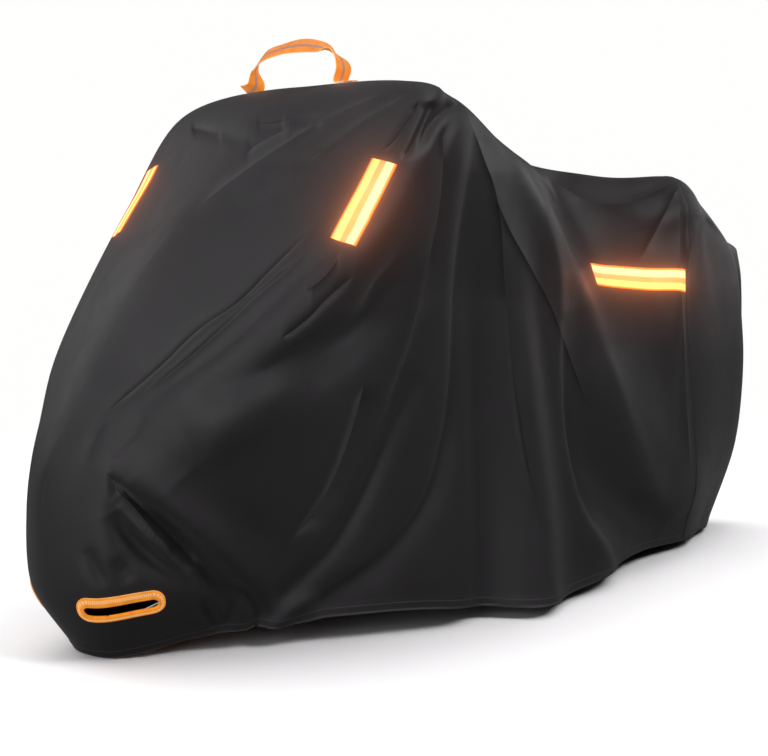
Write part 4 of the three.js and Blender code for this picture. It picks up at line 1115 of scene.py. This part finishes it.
def make_handle(sizes, colours):
    """Handle: a rounded flat profile carried along the loop, turned about it and widened."""
    near_foot, far_foot = (np.array(foot, float) for foot in HANDLE_FEET)
    near_height = cloth_height(HANDLE_ALONG, near_foot[:, 0]) + 2.2
    far_height = cloth_height(HANDLE_ALONG, far_foot[:, 0]) + 2.2
    near_rows = np.insert(near_foot, 1, near_height, axis=1)
    far_rows = np.insert(far_foot, 1, far_height, axis=1)
    rows = np.concatenate([near_rows, np.array(HANDLE_LINE, float), far_rows])
    lengths = np.concatenate([[0], np.cumsum(np.linalg.norm(np.diff(rows[:, :2], axis=0), axis=1))])
    slopes = knot_slopes(rows, lengths)
    places = np.linspace(0, lengths[-1], 161)
    number, share, span = stretch_of(lengths, places)
    line = cubic(rows[number], rows[number + 1], slopes[number], slopes[number + 1],
                 share[:, None], span[:, None])
    middle = np.stack([np.full(len(line), float(HANDLE_ALONG)), line[:, 0], line[:, 1]], axis=1)
    way = unit(np.gradient(middle, axis=0))
    outward = np.stack([np.zeros(len(line)), -way[:, 2], way[:, 1]], axis=1)
    turn = np.radians(line[:, 2])[:, None]
    wide = np.cos(turn) * [1, 0, 0] + np.sin(turn) * outward
    thick = np.cross(way, wide)
    half = np.array([-0.5, -0.49, -0.46, -0.3, 0, 0.3, 0.46, 0.49,
                     0.5, 0.49, 0.46, 0.3, 0, -0.3, -0.46, -0.49])
    proud = np.array([0, 0.3, 0.46, 0.5, 0.5, 0.5, 0.46, 0.3, 0, -0.3, -0.46, -0.5, -0.5, -0.5, -0.46, -0.3])
    points = (middle[:, None] + wide[:, None] * (line[:, 3:] * half)[..., None]
              + thick[:, None] * (sizes.webbing * 1000 * proud)[:, None])
    count = len(half)
    numbers = np.arange(points.shape[0] * count).reshape(points.shape[0], count)
    closed = np.pad(numbers, ((0, 0), (0, 1)), mode="wrap")
    faces = quads_of(closed).reshape(-1, 4).tolist() + [numbers[0].tolist(), numbers[-1][::-1].tolist()]
    uv = np.stack(np.broadcast_arrays(places[:, None] * 0.001, half + 0.5), axis=2).reshape(-1, 2)
    material = material_named("dressed_webbing", webbing_material, colours, sizes)
    piece = new_piece("handle_strap", in_frame(points.reshape(-1, 3)), faces, material, "handle_webbing",
                      [("strap", uv)])
    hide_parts("carry_handle")
    return piece


def area_light(name, place, aim, size, power, colour):
    """Soft rectangular lamp at a place, pointed at another."""
    light = bpy.data.lights.new(name, "AREA")
    light.shape = "RECTANGLE"
    light.size, light.size_y = size
    light.energy = power
    light.color = colour
    lamp = bpy.data.objects.new(name, light)
    bpy.context.scene.collection.objects.link(lamp)
    place = in_frame(place)
    direction = in_frame(aim) - place
    lamp.location = place
    lamp.rotation_euler = (math.atan2(math.hypot(direction[0], direction[1]), -direction[2]), 0,
                           math.atan2(direction[1], direction[0]) - math.pi / 2)
    return lamp


def make_stage(sizes, colours):
    """Floor, soft lights, white surroundings, a bloom for the tapes and the photograph's camera."""
    scene = bpy.context.scene
    reach = np.linspace(-5200, 5200, 9)
    a, b = np.meshgrid(reach, reach, indexing="ij")
    floor_points = np.stack([a, b, 0 * a + FLOOR_HEIGHT], axis=2).reshape(-1, 3)
    faces = quads_of(np.arange(a.size).reshape(a.shape)).reshape(-1, 4).tolist()
    floor = new_piece("studio_floor", in_frame(floor_points), faces, floor_material(colours), None)
    for name, place, size, power in LAMPS:
        area_light(name, place, [0, 0, 650], size, power, (1.0, 0.985, 1.0))
    only_floor = bpy.data.collections.new("floor_light_reaches")
    only_floor.objects.link(floor)
    light = bpy.data.lights.new("floor_light", "SUN")
    light.energy = math.pi * 0.88
    light.angle = math.radians(75)
    above = bpy.data.objects.new("floor_light", light)
    above.rotation_euler = (math.radians(-24), math.radians(6), 0)
    above.light_linking.receiver_collection = only_floor
    scene.collection.objects.link(above)
    world = bpy.data.worlds.new("pale_studio")
    scene.world = world
    world.use_nodes = True
    tree = world.node_tree
    back = tree.nodes["Background"]
    back.inputs["Color"].default_value = (1.0, 0.99, 0.99, 1.0)
    back.inputs["Strength"].default_value = 0.02
    seen = node(tree, "ShaderNodeBackground", {"Color": (1.0, 0.995, 0.99, 1.0), "Strength": 1.0})
    path = node(tree, "ShaderNodeLightPath")
    either = node(tree, "ShaderNodeMixShader", {0: path.outputs["Is Camera Ray"]})
    tree.links.new(back.outputs[0], either.inputs[1])
    tree.links.new(seen.outputs[0], either.inputs[2])
    tree.links.new(either.outputs[0], tree.nodes["World Output"].inputs["Surface"])
    scene.view_settings.view_transform = "Standard"
    scene.view_settings.look = "None"
    camera = bpy.data.cameras.new("photo_camera")
    camera.sensor_fit = "HORIZONTAL"
    camera.sensor_width = 36
    camera.lens = CAMERA_FOCAL_PIXELS / PHOTO_WIDTH * camera.sensor_width
    camera.clip_end = 60
    holder = bpy.data.objects.new("photo_camera", camera)
    scene.collection.objects.link(holder)
    holder.location = in_frame(CAMERA_PLACE)
    holder.rotation_euler = (math.radians(90 - CAMERA_PITCH), 0, math.radians(CAMERA_YAW - 90))
    scene.camera = holder
    bloom_on_tapes(scene)


def bloom_on_tapes(scene):
    """Compositor with one bloom, which only what is brighter than the surroundings sets off."""
    scene.use_nodes = True
    tree = scene.node_tree
    tree.nodes.clear()
    render = node(tree, "CompositorNodeRLayers")
    glare = node(tree, "CompositorNodeGlare", {"Image": render.outputs["Image"]}, glare_type="BLOOM")
    glare.inputs["Threshold"].default_value = 1.3
    glare.inputs["Size"].default_value = 0.1
    glare.inputs["Strength"].default_value = 0.7
    node(tree, "CompositorNodeComposite", {"Image": glare.outputs["Image"]})


class CoverSizes(bpy.types.PropertyGroup):
    """Sizes of the cover's pieces that a user would change."""

    cloth: FloatProperty(name="Cloth thickness", description="Thickness of the coated cloth",
                         default=0.002, min=0.0005, max=0.004, subtype="DISTANCE", unit="LENGTH")
    hem_depth: FloatProperty(name="Hem depth", description="How far the hem is turned in",
                             default=0.022, min=0.01, max=0.05, subtype="DISTANCE", unit="LENGTH")
    stitch: FloatProperty(name="Stitch pitch", description="Distance from one stitch to the next",
                          default=0.004, min=0.002, max=0.01, subtype="DISTANCE", unit="LENGTH")
    weave: FloatProperty(name="Weave pitch", description="Distance from one thread of the weave to the next",
                         default=0.0016, min=0.0005, max=0.004, subtype="DISTANCE", unit="LENGTH")
    tape: FloatProperty(name="Tape thickness", description="Thickness of the reflective tape",
                        default=0.0014, min=0.0005, max=0.003, subtype="DISTANCE", unit="LENGTH")
    webbing: FloatProperty(name="Webbing thickness", description="Thickness of the handle's webbing",
                           default=0.0026, min=0.001, max=0.005, subtype="DISTANCE", unit="LENGTH")
    # Strength of the painted glow: the tape gives off light as emission in place of its reflection
    glow_painted_on_tape: FloatProperty(name="Tape glow", description="How strongly the tape throws light back",
                             default=0.95, min=0.0, max=5.0)
    # Tint of the tape's painted glow
    painted_glow_tint: FloatVectorProperty(name="Tape heat", description="Glow of the tape in red, green and blue",
                                   size=3, min=0, max=10, default=(3.2, 1.2, 0.9))
    rows: IntProperty(name="Rows", description="Grid rows along the body cloth, an odd number",
                      default=261, min=41, max=401)
    tail_rows: IntProperty(name="Rear panel rows",
                           description="Grid rows along the rear panel, an odd number",
                           default=71, min=21, max=201)
    columns: IntProperty(name="Columns", description="Grid columns from the crest to the hem, an odd number",
                         default=147, min=41, max=201)


class CoverColours(bpy.types.PropertyGroup):
    """Colours of the cover's finishes and of the floor."""

    cloth: FloatVectorProperty(name="Cloth", description="Charcoal of the coated cloth", subtype="COLOR",
                               size=3, min=0, max=1, default=(0.030, 0.0275, 0.030))
    thread: FloatVectorProperty(name="Thread", description="Thread of the hem and the seam", subtype="COLOR",
                                size=3, min=0, max=1, default=(0.085, 0.082, 0.085))
    # Brightest band: the tape's yellow made paler by a painted highlight
    highlit_tape_band: FloatVectorProperty(name="Bright band", description="Brightest band of the tape",
                                     subtype="COLOR", size=3, min=0, max=1, default=(1.0, 0.93, 0.48))
    tape_warm: FloatVectorProperty(name="Warm band", description="Second bright band of the tape",
                                   subtype="COLOR", size=3, min=0, max=1, default=(1.0, 0.84, 0.25))
    tape_dull: FloatVectorProperty(name="Middle band", description="Middle band of the tape", subtype="COLOR",
                                   size=3, min=0, max=1, default=(0.95, 0.37, 0.14))
    tape_edge: FloatVectorProperty(name="Tape border", description="Narrow border of the tape",
                                   subtype="COLOR",
                                   size=3, min=0, max=1, default=(0.9, 0.2, 0.02))
    tape_thread: FloatVectorProperty(name="Trim thread", description="Thread on the tapes and bindings",
                                     subtype="COLOR", size=3, min=0, max=1, default=(0.9, 0.5, 0.2))
    binding: FloatVectorProperty(name="Binding", description="Binding of the lock slots", subtype="COLOR",
                                 size=3, min=0, max=1, default=(0.98, 0.31, 0.02))
    webbing: FloatVectorProperty(name="Webbing", description="Webbing of the handle", subtype="COLOR",
                                 size=3, min=0, max=1, default=(0.93, 0.27, 0.02))
    webbing_line: FloatVectorProperty(name="Webbing line", description="Line along the middle of the webbing",
                                      subtype="COLOR", size=3, min=0, max=1, default=(0.36, 0.2, 0.15))
    # Paler edge colour: a painted highlight along the binding's outer edge, and a paler line along both edges
    # of the webbing
    edge_tone_and_highlight: FloatVectorProperty(name="Pale edge", description="Selvedge of binding and webbing",
                                   subtype="COLOR", size=3, min=0, max=1, default=(0.95, 0.5, 0.18))
    floor: FloatVectorProperty(name="Floor", description="Studio floor", subtype="COLOR", size=3, min=0,
                               max=1, default=(0.86, 0.855, 0.86))


class COVER_OT_stage(bpy.types.Operator):
    """Add the floor, the lights and the camera"""

    bl_idname = "cover.stage"
    bl_label = "Stage"

    def execute(self, context):
        make_stage(context.scene.cover_sizes, context.scene.cover_colours)
        return {"FINISHED"}


class COVER_OT_body(bpy.types.Operator):
    """Add the body cloth with its folds, hem and lock slots"""

    bl_idname = "cover.body"
    bl_label = "Body cloth"

    def execute(self, context):
        piece = make_body(context.scene.cover_sizes, context.scene.cover_colours)
        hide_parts("cover_body")
        return {"FINISHED"}


class COVER_OT_tail(bpy.types.Operator):
    """Add the rear panel behind the seam"""

    bl_idname = "cover.tail"
    bl_label = "Rear panel"

    def execute(self, context):
        piece = make_tail(context.scene.cover_sizes, context.scene.cover_colours)
        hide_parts("cover_tail")
        return {"FINISHED"}


class COVER_OT_tapes(bpy.types.Operator):
    """Add the four reflective tapes"""

    bl_idname = "cover.tapes"
    bl_label = "Reflective tapes"

    def execute(self, context):
        for name in TAPES:
            make_tape(name, context.scene.cover_sizes, context.scene.cover_colours)
        return {"FINISHED"}


class COVER_OT_bindings(bpy.types.Operator):
    """Add the bindings of the two lock slots"""

    bl_idname = "cover.bindings"
    bl_label = "Slot bindings"

    def execute(self, context):
        for side_name in ("near", "far"):
            make_binding(side_name, context.scene.cover_sizes, context.scene.cover_colours)
        return {"FINISHED"}


class COVER_OT_handle(bpy.types.Operator):
    """Add the carry handle"""

    bl_idname = "cover.handle"
    bl_label = "Carry handle"

    def execute(self, context):
        make_handle(context.scene.cover_sizes, context.scene.cover_colours)
        return {"FINISHED"}


class COVER_OT_declare(bpy.types.Operator):
    """Last step, which adds nothing to the scene"""

    bl_idname = "cover.declare"
    bl_label = "Cloth sizes"

    def execute(self, context):
        return {"FINISHED"}


STEPS = [COVER_OT_stage, COVER_OT_body, COVER_OT_tail, COVER_OT_tapes, COVER_OT_bindings,
         COVER_OT_handle, COVER_OT_declare]


class COVER_PT_panel(bpy.types.Panel):
    """Sidebar panel that lists the steps and the values"""

    bl_idname = "COVER_PT_panel"
    bl_label = "Motorcycle cover"
    bl_space_type = "VIEW_3D"
    bl_region_type = "UI"
    bl_category = "Cover"

    def draw(self, context):
        for step in STEPS:
            self.layout.operator(step.bl_idname)
        for group in (context.scene.cover_sizes, context.scene.cover_colours):
            box = self.layout.box()
            for name in group.__annotations__:
                box.prop(group, name)


CLASSES = [CoverSizes, CoverColours, *STEPS, COVER_PT_panel]


def register():
    """Register the classes and hang the values on the scene."""
    for each in CLASSES:
        bpy.utils.register_class(each)
    bpy.types.Scene.cover_sizes = PointerProperty(type=CoverSizes)
    bpy.types.Scene.cover_colours = PointerProperty(type=CoverColours)


def unregister():
    """Take the values and the classes away again."""
    del bpy.types.Scene.cover_colours
    del bpy.types.Scene.cover_sizes
    for each in reversed(CLASSES):
        bpy.utils.unregister_class(each)


def main():
    """Build the pieces in order."""
    register()
    bpy.ops.cover.stage()
    bpy.ops.cover.body()
    bpy.ops.cover.tail()
    bpy.ops.cover.tapes()
    bpy.ops.cover.bindings()
    bpy.ops.cover.handle()
    bpy.ops.cover.declare()


if __name__ == "__main__":
    main()
